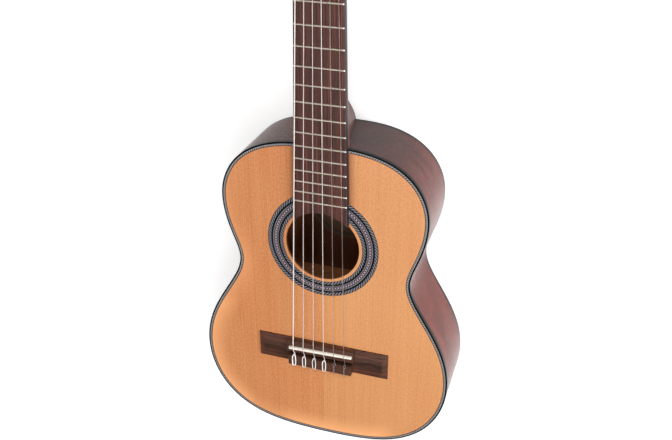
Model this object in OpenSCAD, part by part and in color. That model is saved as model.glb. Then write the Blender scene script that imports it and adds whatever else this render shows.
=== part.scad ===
// Small classical guitar, lying on its back.
// X runs across towards the treble side, Y along the neck towards the head,
// Z out of the soundboard. Y = 0 is the end of the scale length, just in front
// of the saddle, and Z = 0 is the back. All sizes are in millimetres.

/* [Body] */
// Depth of the body from soundboard to back
body_d = 78; // [72:1:84]
// Thickness of the soundboard
top_t = 2.5; // [2.3:0.1:3]
// Thickness of the back
back_t = 2.5; // [2:0.1:3]
// Thickness of the ribs
rib_t = 2; // [1.8:0.1:2.4]
// Height of the binding on the ribs
bind_h = 4.5; // [3:0.5:6]
// Width of the binding on the top
bind_w = 1.4; // [1.2:0.1:1.7]
// Width of the rope purfling inside the binding
purf_w = 3.2; // [2.4:0.1:3.6]
// Width of the linings
lining_w = 6; // [4:0.5:8]
// Height of the linings
lining_h = 12; // [8:0.5:14]

/* [Sound hole] */
// Radius of the sound hole
hole_r = 40; // [36:0.5:41]
// Distance of the sound hole's centre from the saddle
hole_y = 127.6; // [126:0.2:129]
// Inner radius of the rosette
ros_r0 = 43.3; // [42.5:0.1:45]
// Outer radius of the rosette
ros_r1 = 60.6; // [54:0.1:61]

/* [Neck] */
// Vibrating string length, from nut to saddle
scale_l = 480; // [478:1:482]
// Width of the fingerboard at the nut
nut_w = 45.2; // [44:0.2:47]
// Width of the fingerboard at the body joint
fb_w12 = 54.4; // [53:0.2:56]
// Thickness of the fingerboard
fb_t = 6; // [5:0.5:7]
// Thickness of the neck behind the nut
neck_t = 15; // [14:0.5:16]
// Number of frets
n_frets = 17; // [12:1:17]
// Height of the fret crowns
fret_h = 1; // [0.8:0.1:1.2]

/* [Head] */
// Backward tilt of the head
tilt = 13; // [11:1:14]
// Thickness of the head without its veneer
head_t = 14; // [13.5:0.5:15]
// Thickness of the head veneer
ven_t = 2; // [1:0.5:2]
// Half width of the head along the tuner plates
head_hw = 30; // [30:0.5:32]

/* [Strings] */
// String spacing at the saddle
sp_saddle = 11.8; // [11:0.05:12]
// String spacing at the nut
sp_nut = 7.28; // [7:0.02:7.4]
// Height of the saddle above the soundboard
saddle_h = 12; // [11:0.5:13]

/* [Hidden] */
$fn = 64;
top_z = body_d;
fb_z = top_z + fb_t;
EPS = 1;

// Right half of the outline's control polygon, from the neck to the tail
CP = [[0, 241], [49, 241], [92, 223], [116, 181], [106, 130], [89, 97],
      [106, 65], [131, 26], [143, -13], [140, -55], [120, -93], [85, -117],
      [43, -125], [0, -126]];
CL = concat(CP, [for (i = [len(CP) - 2:-1:1]) [-CP[i][0], CP[i][1]]]);
NC = len(CL);
SEG = 6;
function cl(i) = CL[(i + NC) % NC];
// Point and direction on the closed cubic spline
function bs_p(i, t) = (pow(1 - t, 3) * cl(i - 1) + (3 * pow(t, 3) - 6 * t * t + 4) * cl(i)
    + (-3 * pow(t, 3) + 3 * t * t + 3 * t + 1) * cl(i + 1) + pow(t, 3) * cl(i + 2)) / 6;
function bs_v(i, t) = (-3 * pow(1 - t, 2) * cl(i - 1) + (9 * t * t - 12 * t) * cl(i)
    + (-9 * t * t + 6 * t + 3) * cl(i + 1) + 3 * t * t * cl(i + 2)) / 6;
// Outline moved inwards by d
function ol(d) = [for (i = [0:NC - 1]) for (k = [0:SEG - 1])
    let (p = bs_p(i, k / SEG), v = bs_v(i, k / SEG), n = norm(v))
    [p[0] + d * v[1] / n, p[1] - d * v[0] / n]];

module slab(d, z0, z1) translate([0, 0, z0]) linear_extrude(z1 - z0) polygon(ol(d));
module rim(d0, d1, z0, z1) difference() {
    slab(d0, z0, z1);
    slab(d1, z0 - EPS, z1 + EPS);
}
module block(x0, x1, y0, y1, z0, z1) translate([x0, y0, z0]) cube([x1 - x0, y1 - y0, z1 - z0]);

purf_d = 1.5;
ros_d = 1;
in_z0 = back_t;
in_z1 = top_z - top_t;
nb_hw = 28;
nb_y = 205;
ten_hw = 12;
ten_y = 219;
tb_hw = 24;
tb_y = -112;

function fb_hw(y) = (nut_w + (fb_w12 - nut_w) * (scale_l - y) / (scale_l / 2)) / 2;
function fret_y(n) = scale_l * pow(2, -n / 12);
nut_d = 5;
nut_y = scale_l + nut_d;

// Strings: 1 is the thinnest treble, 6 the thickest bass
STR_D = [0.7, 0.8, 1.0, 0.76, 0.9, 1.1];
// Middle of the strings on the bridge
str_x = -1.4;
function sx_saddle(n) = str_x + sp_saddle * (3.5 - n);
function sx_nut(n) = sp_nut * (3.5 - n);
saddle_a = 1.7;
saddle_y = -2.8;
saddle_l = 73;
saddle_x = -0.3;
saddle_t = 2.6;
function sy_saddle(n) = saddle_y + sx_saddle(n) * tan(saddle_a);

// Head frame: u along the head from the nut, w out of its face
module head_frame() translate([0, nut_y, top_z]) rotate([-tilt, 0, 0]) children();
function hf(x, u, w) = [x, nut_y + u * cos(tilt) + w * sin(tilt), top_z - u * sin(tilt) + w * cos(tilt)];
head_w0 = -head_t - ven_t;
HEAD_R = [[22.6, 0], [23, 5], [24.4, 10], [27, 15], [head_hw, 19.5], [head_hw, 132],
          [head_hw - 2, 138.5], [head_hw - 8, 144.5], [head_hw - 16, 148], [6, 149.6]];
HEAD_P = concat(HEAD_R, [for (i = [len(HEAD_R) - 1:-1:0]) [-HEAD_R[i][0], HEAD_R[i][1]]]);
slot_x = 14;
slot_r = 6.5;
slot_u0 = 28.5;
slot_u1 = 117.5;

// Tuning machines: roller axis, worm axis, gear and worm
rol_w = -8.2;
rol_r = 5;
rol_x = [18, 14, 10];
function rol_u(k) = 38 + 35 * k;
run_c = 0.06;
teeth = 14;
pitch = 2.4;
gear_r = teeth * pitch / (2 * PI);
worm_r = 2.2;
worm_e = 0.7;
mesh_c = 0.3;
worm_du = gear_r + worm_r;
worm_x = head_hw + 4.6;
plate_t = 1.2;
lug_g = 5.5;
lug_t = 2.2;
SCREW_U = [26, 57, 92, 122];

// Side (+1 treble, -1 bass) and place on the plate of string n's machine
function t_side(n) = n <= 3 ? 1 : -1;
function t_k(n) = n <= 3 ? n - 1 : 6 - n;
module on_side(n) head_frame() mirror([n <= 3 ? 0 : 1, 0, 0]) children();
module xcyl(x0, x1, u, w, r) translate([x0, u, w]) rotate([0, 90, 0]) cylinder(h = x1 - x0, r = r);

// Plate with the sound hole and the rebates for rosette and purfling
module soundboard() color("#d99555") difference() {
    slab(rib_t, in_z1, top_z);
    difference() {
        slab(rib_t - 1, top_z - purf_d, top_z + EPS);
        slab(bind_w + purf_w, top_z - purf_d - EPS, top_z + 2 * EPS);
    }
    translate([0, hole_y, in_z1 - EPS]) cylinder(h = top_t + 2 * EPS, r = hole_r);
    translate([0, hole_y, top_z - ros_d]) difference() {
        cylinder(h = ros_d + EPS, r = ros_r1);
        translate([0, 0, -EPS]) cylinder(h = ros_d + 3 * EPS, r = ros_r0);
    }
}

module rosette() color("#8d8a90") translate([0, hole_y, top_z - ros_d]) difference() {
    cylinder(h = ros_d, r = ros_r1);
    translate([0, 0, -EPS]) cylinder(h = ros_d + 2 * EPS, r = ros_r0);
}

module back_plate() color("#6b4038") slab(rib_t, 0, back_t);

// One rib, from the tail seam to the side of the neck's tenon
module rib(s) difference() {
    rim(0, rib_t, bind_h, top_z - bind_h);
    block(s > 0 ? -200 : 0, s > 0 ? 0 : 200, -200, 300, -EPS, top_z + EPS);
    block(-ten_hw, ten_hw, 200, 300, -EPS, top_z + EPS);
}
module rib_bass() color("#6b4a45") rib(-1);
module rib_treble() color("#6b4a45") rib(1);

// Edge strip on the ribs, rebated for the purfling
module binding_top() color("#1b1b1d") difference() {
    rim(0, rib_t, top_z - bind_h, top_z);
    rim(bind_w, rib_t + 1, top_z - purf_d, top_z + EPS);
}
module purfling_top() color("#97979b") rim(bind_w, bind_w + purf_w, top_z - purf_d, top_z);
module binding_back() color("#1b1b1d") rim(0, rib_t, 0, bind_h);

module lining(z0) difference() {
    rim(rib_t, rib_t + lining_w, z0, z0 + lining_h);
    block(-nb_hw, nb_hw, nb_y, 300, -EPS, top_z + EPS);
    block(-tb_hw, tb_hw, -200, tb_y, -EPS, top_z + EPS);
}
module lining_top() color("#c79a66") lining(in_z1 - lining_h);
module lining_back() color("#c79a66") lining(in_z0);

module neck_block() color("#9a6c48") difference() {
    intersection() {
        slab(rib_t, in_z0, in_z1);
        block(-nb_hw, nb_hw, nb_y, 300, -EPS, top_z + EPS);
    }
    block(-ten_hw, ten_hw, ten_y, 300, bind_h, top_z - bind_h);
}

module tail_block() color("#9a6c48") intersection() {
    slab(rib_t, in_z0, in_z1);
    block(-tb_hw, tb_hw, -200, tb_y, -EPS, top_z + EPS);
}

// Five struts that spread out under the bridge
module fan_braces() color("#d8b07c") for (i = [-2:2])
    let (a = [i * 17, 62], b = [i * 35, -86 + 5 * abs(i)], d = (b - a) / norm(b - a), n = [-d[1], d[0]] * 2.5)
    translate([0, 0, in_z1 - 4]) linear_extrude(4) polygon([a + n, b + n, b - n, a - n]);

// Two bars across the soundboard, one on each side of the sound hole
module harmonic_bars() color("#d8b07c") for (y = [hole_y - 60, hole_y + 53]) intersection() {
    slab(rib_t + lining_w, in_z1 - 14, in_z1);
    block(-200, 200, y, y + 7, 0, top_z);
}

// Three bars across the back
module back_braces() color("#c08a58") for (y = [-52, 43.5, 172]) intersection() {
    slab(rib_t + lining_w, in_z0, in_z0 + 12);
    block(-200, 200, y, y + 12, 0, top_z);
}

// Plain oval of paper on the inside of the back
module label() color("#d8cfae") translate([6, 133, in_z0]) linear_extrude(0.3)
    polygon([for (a = [0:7.5:352.5]) [45 * cos(a), 35 * sin(a)]]);

// Neck and heel: sections along Y, flat on top and round below. In plan the
// heel is a pointed arch, heel_l long at its cap and longer towards the neck
heel_l = 24;
heel_r = 38;
heel_y = 241;
function neck_dp(y) = neck_t + (scale_l - y) / 160;
function heel_g(y) = let (q = (heel_y + heel_l + heel_r - y) / heel_r) q >= 1 ? 1 : q <= 0 ? 0 : 1 - sqrt(1 - q * q);
function heel_len(z) = let (q = min(1, max(0, (z - back_t) / 59.5))) heel_l + heel_r * (1 - sqrt(1 - q * q));
function heel_hw(y, z) = let (t = max(0, y - heel_y) / heel_len(z), s = (top_z - z) / (top_z - back_t))
    t >= 1 ? 0 : fb_hw(heel_y) * (1 - 0.57 * pow(s, 0.8)) * (1 - pow(t, 1.6));
function neck_hw(y, z) = let (q = 0.985 * (top_z - z) / neck_dp(y))
    q >= 1 ? 0 : fb_hw(min(y, scale_l)) * pow(1 - pow(q, 2.4), 0.45);
function sec_hw(y, z) = let (a = neck_hw(y, z), b = heel_hw(y, z))
    max(0.5, min(fb_hw(min(y, scale_l)), pow(pow(a, 6) + pow(b, 6), 1 / 6)));
NECK_Y = [232, 241, 246, 250, 254, 257.5, 260.5, 263, 265, 265.5, 267, 269.5, 273, 278, 284, 291, 298, 304, 340, 400, 460, 492];
NECK_S = [0, 0.1, 0.2, 0.32, 0.46, 0.6, 0.73, 0.84, 0.93, 1];
function neck_ring(y) = let (nd = neck_dp(y), dp = nd + (top_z - back_t - nd) * heel_g(y), m = len(NECK_S))
    concat([for (s = NECK_S) [sec_hw(y, top_z - dp * s), y, top_z - dp * s]],
           [for (j = [m - 1:-1:0]) [-sec_hw(y, top_z - dp * NECK_S[j]), y, top_z - dp * NECK_S[j]]]);
// Closed skin over rings of equal length
module skin(rings) {
    m = len(rings[0]);
    n = len(rings);
    polyhedron(
        points = [for (r = rings) for (p = r) p],
        faces = concat([[for (j = [0:m - 1]) j]],
            [for (i = [0:n - 2]) for (j = [0:m - 1]) let (k = (j + 1) % m)
                each [[i * m + j, (i + 1) * m + j, i * m + k], [i * m + k, (i + 1) * m + j, (i + 1) * m + k]]],
            [[for (j = [m - 1:-1:0]) (n - 1) * m + j]]),
        convexity = 6);
}
module neck() color("#7b5648") {
    difference() {
        skin([for (y = NECK_Y) neck_ring(y)]);
        slab(0, -EPS, top_z + EPS);
        head_frame() block(-60, 60, 0, 40, -60, 20);
    }
    block(-ten_hw, ten_hw, ten_y, 243, bind_h, top_z - bind_h);
}

// Thin dark cap under the heel
CAP_T = [0, 0.15, 0.3, 0.45, 0.6, 0.75, 0.88, 0.97];
function cap_x(t) = fb_hw(heel_y) * 0.43 * (1 - pow(t, 1.6));
module heel_cap() color("#2a2326") difference() {
    translate([0, 0, 0.4]) linear_extrude(back_t - 0.4) polygon(concat(
        [[-cap_x(0), 230], [cap_x(0), 230]],
        [for (t = CAP_T) [cap_x(t), heel_y + heel_l * t]],
        [for (j = [len(CAP_T) - 1:-1:0]) [-cap_x(CAP_T[j]), heel_y + heel_l * CAP_T[j]]]));
    slab(0, -EPS, 10);
}

module head_slots(w0, w1) for (s = [-1, 1]) {
    translate([s * slot_x, slot_u0, w0]) cylinder(h = w1 - w0, r = slot_r);
    translate([s * slot_x, slot_u1, w0]) cylinder(h = w1 - w0, r = slot_r);
    block(s * slot_x - slot_r, s * slot_x + slot_r, slot_u0, slot_u1, w0, w1);
}

// Slotted head with the roller bores and the pilot holes of the plate screws
module headstock() color("#7b5648") head_frame() difference() {
    translate([0, 0, head_w0]) linear_extrude(head_t) polygon(HEAD_P);
    head_slots(head_w0 - EPS, EPS);
    for (s = [0, 1]) mirror([s, 0, 0]) {
        for (k = [0:2]) {
            xcyl(slot_x + slot_r - 2, head_hw + EPS, rol_u(k), rol_w, rol_r + run_c);
            xcyl(2.4, slot_x - slot_r + 2, rol_u(k), rol_w, 3 + run_c);
        }
        for (u = SCREW_U) xcyl(head_hw - 7, head_hw + EPS, u, rol_w, 1.1);
    }
}

module head_veneer() color("#3a2620") head_frame() difference() {
    translate([0, 0, -ven_t]) linear_extrude(ven_t) polygon(HEAD_P);
    head_slots(-ven_t - EPS, EPS);
}

// Board whose end is cut round along the sound hole, with the fret slots
module fingerboard() color("#4f3432") difference() {
    translate([0, 0, top_z]) linear_extrude(fb_t) polygon([
        [-fb_hw(150), 150], [fb_hw(150), 150], [fb_hw(scale_l), scale_l], [-fb_hw(scale_l), scale_l]]);
    translate([0, hole_y, top_z - EPS]) cylinder(h = fb_t + 2 * EPS, r = hole_r + 1);
    for (n = [1:n_frets]) block(-40, 40, fret_y(n) - 0.25, fret_y(n) + 0.25, fb_z - 1.8, fb_z + EPS);
}

module frets() color("#d9d4cb") for (n = [1:n_frets])
    translate([0, fret_y(n), fb_z]) rotate([90, 0, 90])
        linear_extrude(2 * fb_hw(fret_y(n)) - 0.8, center = true) polygon([
            [-0.25, -1.8], [0.25, -1.8], [0.25, 0], [0.9, 0], [0.78, fret_h * 0.5], [0.4, fret_h * 0.9],
            [0, fret_h], [-0.4, fret_h * 0.9], [-0.78, fret_h * 0.5], [-0.9, 0], [-0.25, 0]]);

nut_z = fb_z + fret_h + 0.4;
module nut() color("#eee6d2") difference() {
    block(-nut_w / 2, nut_w / 2, scale_l, nut_y, top_z, nut_z + 0.8);
    for (n = [1:6]) block(sx_nut(n) - STR_D[n - 1] / 2 - 0.1, sx_nut(n) + STR_D[n - 1] / 2 + 0.1,
        scale_l - EPS, nut_y + EPS, nut_z, nut_z + 5);
}

br_y0 = -27.6;
br_y1 = 3.7;
br_hw = 75;
tie_h = 10;
tie_y = -14.8;
rest_h = 9;
rest_y = -10.6;
hole_z = top_z + 7;
module saddle_slot(z0, z1, g) translate([saddle_x, saddle_y, z0]) rotate([0, 0, saddle_a])
    translate([-saddle_l / 2 - g, -saddle_t / 2 - g, 0]) cube([saddle_l + 2 * g, saddle_t + 2 * g, z1 - z0]);
module along_x(hw, pts, x = 0) translate([x - hw, 0, top_z]) rotate([90, 0, 90]) linear_extrude(2 * hw) polygon(pts);
// Wings, saddle rest and tie block in one piece, with the string holes
module bridge() color("#4a302b") difference() {
    union() {
        along_x(br_hw, [[br_y0, 0], [br_y1, 0], [br_y1, 2.6], [0.2, 4], [-18, 4], [br_y0, 2.6]]);
        along_x(38.8, [[rest_y, 0], [br_y1, 0], [br_y1, rest_h - 1.8], [br_y1 - 1.8, rest_h], [rest_y + 1.6, rest_h], [rest_y, rest_h - 0.8]], str_x);
        along_x(36.6, [[br_y0, 0], [tie_y, 0], [tie_y, tie_h], [br_y0 + 1, tie_h], [br_y0, tie_h - 1]], str_x);
    }
    saddle_slot(top_z + 3.5, top_z + 20, 0);
    for (n = [1:6]) translate([sx_saddle(n), 0, hole_z]) rotate([90, 0, 0])
        translate([0, 0, 12]) cylinder(h = 30, r = 1);
}

module saddle() color("#f3ecd8") saddle_slot(top_z + 3.5, top_z + saddle_h, 0);

// Tube of diameter d along a route that never runs along X
function unit(v) = v / norm(v);
function tube_ring(p, t, r, m) = let (a = unit([1, 0, 0] - t * t[0]), b = cross(t, a))
    [for (j = [0:m - 1]) p + r * (cos(360 * j / m) * a + sin(360 * j / m) * b)];
function route_t(pts, i) = let (n = len(pts))
    i == 0 ? unit(pts[1] - pts[0]) : i == n - 1 ? unit(pts[n - 1] - pts[n - 2]) :
    unit(unit(pts[i] - pts[i - 1]) + unit(pts[i + 1] - pts[i]));
module tube(pts, d, m = 8) skin([for (i = [0:len(pts) - 1]) tube_ring(pts[i], route_t(pts, i), d / 2, m)]);
// From the roller over the nut and the saddle, through the tie block and back over it
function str_route(n) = let (d = STR_D[n - 1], r = d / 2, k = t_k(n), s = t_side(n),
        xn = sx_nut(n), xs = sx_saddle(n), ys = sy_saddle(n), zs = top_z + saddle_h + 0.05 + r, zt = top_z + tie_h + 0.1 + r)
    [hf(s * rol_x[k], rol_u(k) + 1, rol_w + rol_r + 0.3 + r), [xn, nut_y + 0.3, nut_z + 0.05 + r], [xn, scale_l - 0.5, nut_z + 0.05 + r],
     [xs, ys + 1.4, zs], [xs, ys - 1.4, zs], [xs, tie_y + 0.4, hole_z + 0.2], [xs, tie_y - 3, hole_z], [xs, br_y0 - 0.3, hole_z],
     [xs, br_y0 - 1.2, hole_z + 0.8], [xs, br_y0 - 1.3, top_z + tie_h - 0.8], [xs, br_y0 - 0.4, zt - 0.1], [xs, br_y0 + 2, zt], [xs, tie_y - 0.6, zt]];
module strings_wound() color("#cfcac2") for (n = [4:6]) tube(str_route(n), STR_D[n - 1]);
module strings_nylon() color("#e6ddd0") for (n = [1:3]) tube(str_route(n), STR_D[n - 1]);

// Plate on the side of the head with two lugs for each worm
module tuner_plate() difference() {
    union() {
        block(head_hw, head_hw + plate_t, 22, 126, head_w0 + 0.1, -0.5);
        for (k = [0:2]) for (w = [rol_w + lug_g, rol_w - lug_g - lug_t])
            block(head_hw, worm_x + 2.6, rol_u(k) + worm_du - 2.8, rol_u(k) + worm_du + 2.8, w, w + lug_t);
    }
    for (k = [0:2]) {
        xcyl(head_hw - EPS, head_hw + plate_t + EPS, rol_u(k), rol_w, 2.5 + run_c);
        translate([worm_x, rol_u(k) + worm_du, head_w0 - 5]) cylinder(h = 30, r = 1.3 + run_c);
    }
    for (u = SCREW_U) xcyl(head_hw - EPS, head_hw + plate_t + EPS, u, rol_w, 1.1);
}
module tuner_plate_bass() color("#cdbb86") on_side(6) tuner_plate();
module tuner_plate_treble() color("#cdbb86") on_side(1) tuner_plate();

module plate_screws() color("#d6c690") for (n = [1, 6]) on_side(n) for (u = SCREW_U) difference() {
    union() {
        xcyl(head_hw + plate_t, head_hw + plate_t + 1.2, u, rol_w, 2.3);
        xcyl(head_hw - 6.5, head_hw + plate_t + 0.5, u, rol_w, 1.1);
    }
    block(head_hw + plate_t + 0.7, head_hw + plate_t + 5, u - 0.3, u + 0.3, rol_w - 5, rol_w + 5);
}

// Flattened round knob pressed on the end of the worm shaft
module tuner_button(n) color("#f2ead8") on_side(n) translate([worm_x, rol_u(t_k(n)) + worm_du, 0]) difference() {
    intersection() {
        rotate_extrude() polygon([[0, -37.4], [4.4, -36.6], [6.3, -34.2], [7.1, -30.5], [6.8, -26.5],
            [5.4, -22.5], [3.6, -19.4], [3, -18], [3, -17], [0, -17]]);
        block(-20, 20, -4.4, 4.4, -50, 0);
    }
    translate([0, 0, -29]) cylinder(h = 20, r = 1.3);
}

// Shaft with its collars and a single thread of round section
module worm_shaft(n) color("#b9b9ba") on_side(n) translate([worm_x, rol_u(t_k(n)) + worm_du, rol_w]) {
    translate([0, 0, -29 - rol_w]) cylinder(h = 29 + rol_w + lug_g + lug_t - 0.1, r = 1.3);
    skin([for (i = [0:30]) let (a = 36 * i - 90)
        [for (j = [0:11]) [worm_e * cos(a) + worm_r * cos(30 * j), worm_e * sin(a) + worm_r * sin(30 * j), (i / 10 - 1.5) * pitch]]]);
    translate([0, 0, 1.5 * pitch]) cylinder(h = lug_g - 0.1 - 1.5 * pitch, r = 2.4);
    translate([0, 0, 0.1 - lug_g]) cylinder(h = lug_g - 0.1 - 1.5 * pitch, r = 2.4);
    translate([0, 0, -17 - rol_w]) cylinder(h = 17 + rol_w - lug_g - lug_t - 0.15, r = 2.2);
}

module gear(n) color("#c9a85c") on_side(n) difference() {
    union() {
        translate([worm_x - 1, rol_u(t_k(n)), rol_w]) rotate([90, 0, 90]) linear_extrude(2)
            polygon([for (i = [0:teeth * 6 - 1]) let (a = 360 * i / (teeth * 6), r = gear_r - mesh_c + worm_e * cos(teeth * a))
                [r * cos(a), r * sin(a)]]);
        xcyl(head_hw + plate_t + 0.1, worm_x - 0.5, rol_u(t_k(n)), rol_w, 3.4);
    }
    xcyl(head_hw, worm_x + 2, rol_u(t_k(n)), rol_w, 2);
}

module gear_screw(n) color("#b9b9ba") on_side(n) difference() {
    union() {
        xcyl(worm_x + 1, worm_x + 2.2, rol_u(t_k(n)), rol_w, 2.6);
        xcyl(worm_x - 4, worm_x + 1.5, rol_u(t_k(n)), rol_w, 0.9);
    }
    block(worm_x + 1.7, worm_x + 5, rol_u(t_k(n)) - 0.3, rol_u(t_k(n)) + 0.3, rol_w - 5, rol_w + 5);
}

// Barrel across the slot, its journals and the spindle that carries the gear
module roller(n) color("#efe6cf") on_side(n) difference() {
    union() {
        xcyl(2.7, 8, rol_u(t_k(n)), rol_w, 3);
        xcyl(slot_x - slot_r + 0.3, head_hw - 0.1, rol_u(t_k(n)), rol_w, rol_r);
        xcyl(head_hw - 1, head_hw + plate_t + 0.05, rol_u(t_k(n)), rol_w, 2.5);
        xcyl(head_hw, worm_x + 1, rol_u(t_k(n)), rol_w, 2);
    }
    xcyl(worm_x - 4, worm_x + 3, rol_u(t_k(n)), rol_w, 0.9);
    translate([rol_x[t_k(n)], rol_u(t_k(n)), rol_w - 10]) cylinder(h = 20, r = 0.8);
}

soundboard();
rosette();
back_plate();
rib_bass();
rib_treble();
binding_top();
purfling_top();
binding_back();
lining_top();
lining_back();
neck_block();
tail_block();
fan_braces();
harmonic_bars();
back_braces();
label();
neck();
heel_cap();
headstock();
head_veneer();
fingerboard();
frets();
nut();
bridge();
saddle();
strings_wound();
strings_nylon();
tuner_plate_bass();
tuner_plate_treble();
plate_screws();
tuner_button(1);  // tuner_button_1
tuner_button(2);  // tuner_button_2
tuner_button(3);  // tuner_button_3
tuner_button(4);  // tuner_button_4
tuner_button(5);  // tuner_button_5
tuner_button(6);  // tuner_button_6
worm_shaft(1);  // worm_shaft_1
worm_shaft(2);  // worm_shaft_2
worm_shaft(3);  // worm_shaft_3
worm_shaft(4);  // worm_shaft_4
worm_shaft(5);  // worm_shaft_5
worm_shaft(6);  // worm_shaft_6
gear(1);  // gear_1
gear(2);  // gear_2
gear(3);  // gear_3
gear(4);  // gear_4
gear(5);  // gear_5
gear(6);  // gear_6
gear_screw(1);  // gear_screw_1
gear_screw(2);  // gear_screw_2
gear_screw(3);  // gear_screw_3
gear_screw(4);  // gear_screw_4
gear_screw(5);  // gear_screw_5
gear_screw(6);  // gear_screw_6
roller(1);  // roller_1
roller(2);  // roller_2
roller(3);  // roller_3
roller(4);  // roller_4
roller(5);  // roller_5
roller(6);  // roller_6
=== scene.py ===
import math
import bmesh
import bpy
from mathutils import Matrix, Vector


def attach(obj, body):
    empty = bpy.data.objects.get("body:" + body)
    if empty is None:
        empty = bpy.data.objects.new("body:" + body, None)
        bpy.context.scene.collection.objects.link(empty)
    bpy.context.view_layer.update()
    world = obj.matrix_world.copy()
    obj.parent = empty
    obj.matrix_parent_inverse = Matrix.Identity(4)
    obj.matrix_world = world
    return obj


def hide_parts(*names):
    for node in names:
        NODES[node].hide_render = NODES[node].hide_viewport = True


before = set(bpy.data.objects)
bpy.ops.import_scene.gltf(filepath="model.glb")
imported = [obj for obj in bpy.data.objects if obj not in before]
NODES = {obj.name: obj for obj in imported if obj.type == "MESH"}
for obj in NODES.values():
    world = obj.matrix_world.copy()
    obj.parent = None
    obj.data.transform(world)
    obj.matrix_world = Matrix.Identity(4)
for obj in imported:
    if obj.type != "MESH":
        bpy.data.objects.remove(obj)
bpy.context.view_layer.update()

MM = 0.001
scene = bpy.context.scene

# ----------------------------------------------------------------- sizes, mm
BODY_D = 78.0
TOP_T = 2.5
RIB_T = 2.0
BIND_H = 4.5
BIND_W, PURF = 1.4, 3.2
HOLE_R, HOLE_Y = 40.0, 127.6
ROS_0, ROS_1 = 43.3, 60.6
SCALE = 480.0
NUT_Y = 485.0
FB_Z = 84.0
TILT = math.radians(13)
STR_D = [0.7, 0.8, 1.0, 0.76, 0.9, 1.1]
STR_X = -1.4
ROL_W, ROL_R = -8.2, 5.0
ROL_X = [18.0, 14.0, 10.0]
HEAD_HW = 30.0
WORM_X = HEAD_HW + 4.6
TEETH, PITCH = 14, 2.4
GEAR_R = TEETH * PITCH / (2 * math.pi)
WORM_DU = GEAR_R + 2.2
SCREW_U = [26, 57, 92, 122]

CP = [(0, 241), (49, 241), (92, 223), (116, 181), (106, 130), (89, 97), (106, 65),
      (131, 26), (143, -13), (140, -55), (120, -93), (85, -117), (43, -125), (0, -126)]
CL = CP + [(-x, y) for x, y in CP[-2:0:-1]]
SEG = 20


def rol_u(k):
    return 38.0 + 35.0 * k


def side(n):
    return 1 if n <= 3 else -1


def place(n):
    return n - 1 if n <= 3 else 6 - n


def fb_hw(y):
    return (45.2 + 9.2 * (SCALE - y) / 240.0) / 2


def fret_y(n):
    return SCALE * 2 ** (-n / 12)


def hf(x, u, w):
    """Point of the tilted head: u along it from the nut, w out of its face."""
    return (x, NUT_Y + u * math.cos(TILT) + w * math.sin(TILT), BODY_D - u * math.sin(TILT) + w * math.cos(TILT))


def smooth(t):
    t = min(1.0, max(0.0, t))
    return t * t * (3 - 2 * t)


def spline(i, t):
    a, b, c, d = (Vector(CL[(i + k) % len(CL)]) for k in (-1, 0, 1, 2))
    p = ((1 - t) ** 3 * a + (3 * t ** 3 - 6 * t * t + 4) * b + (-3 * t ** 3 + 3 * t * t + 3 * t + 1) * c + t ** 3 * d) / 6
    v = (-3 * (1 - t) ** 2 * a + (9 * t * t - 12 * t) * b + (-9 * t * t + 6 * t + 3) * c + 3 * t * t * d) / 6
    return p, v.normalized()


LINE = [spline(i, k / SEG) for i in range(len(CL)) for k in range(SEG)]
NL = len(LINE)
ARC = [0.0]
for i in range(NL):
    ARC.append(ARC[-1] + (LINE[(i + 1) % NL][0] - LINE[i][0]).length)


def off(i, d):
    p, v = LINE[i % NL]
    return (p.x + d * v.y, p.y - d * v.x)


def end_y(x):
    """Height of the body's outline at the neck joint."""
    x = abs(x)
    for i in range(NL // 4):
        a, b = LINE[i][0], LINE[i + 1][0]
        if a.x <= x <= b.x:
            return a.y + (b.y - a.y) * (x - a.x) / (b.x - a.x)
    return 241.0


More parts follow.
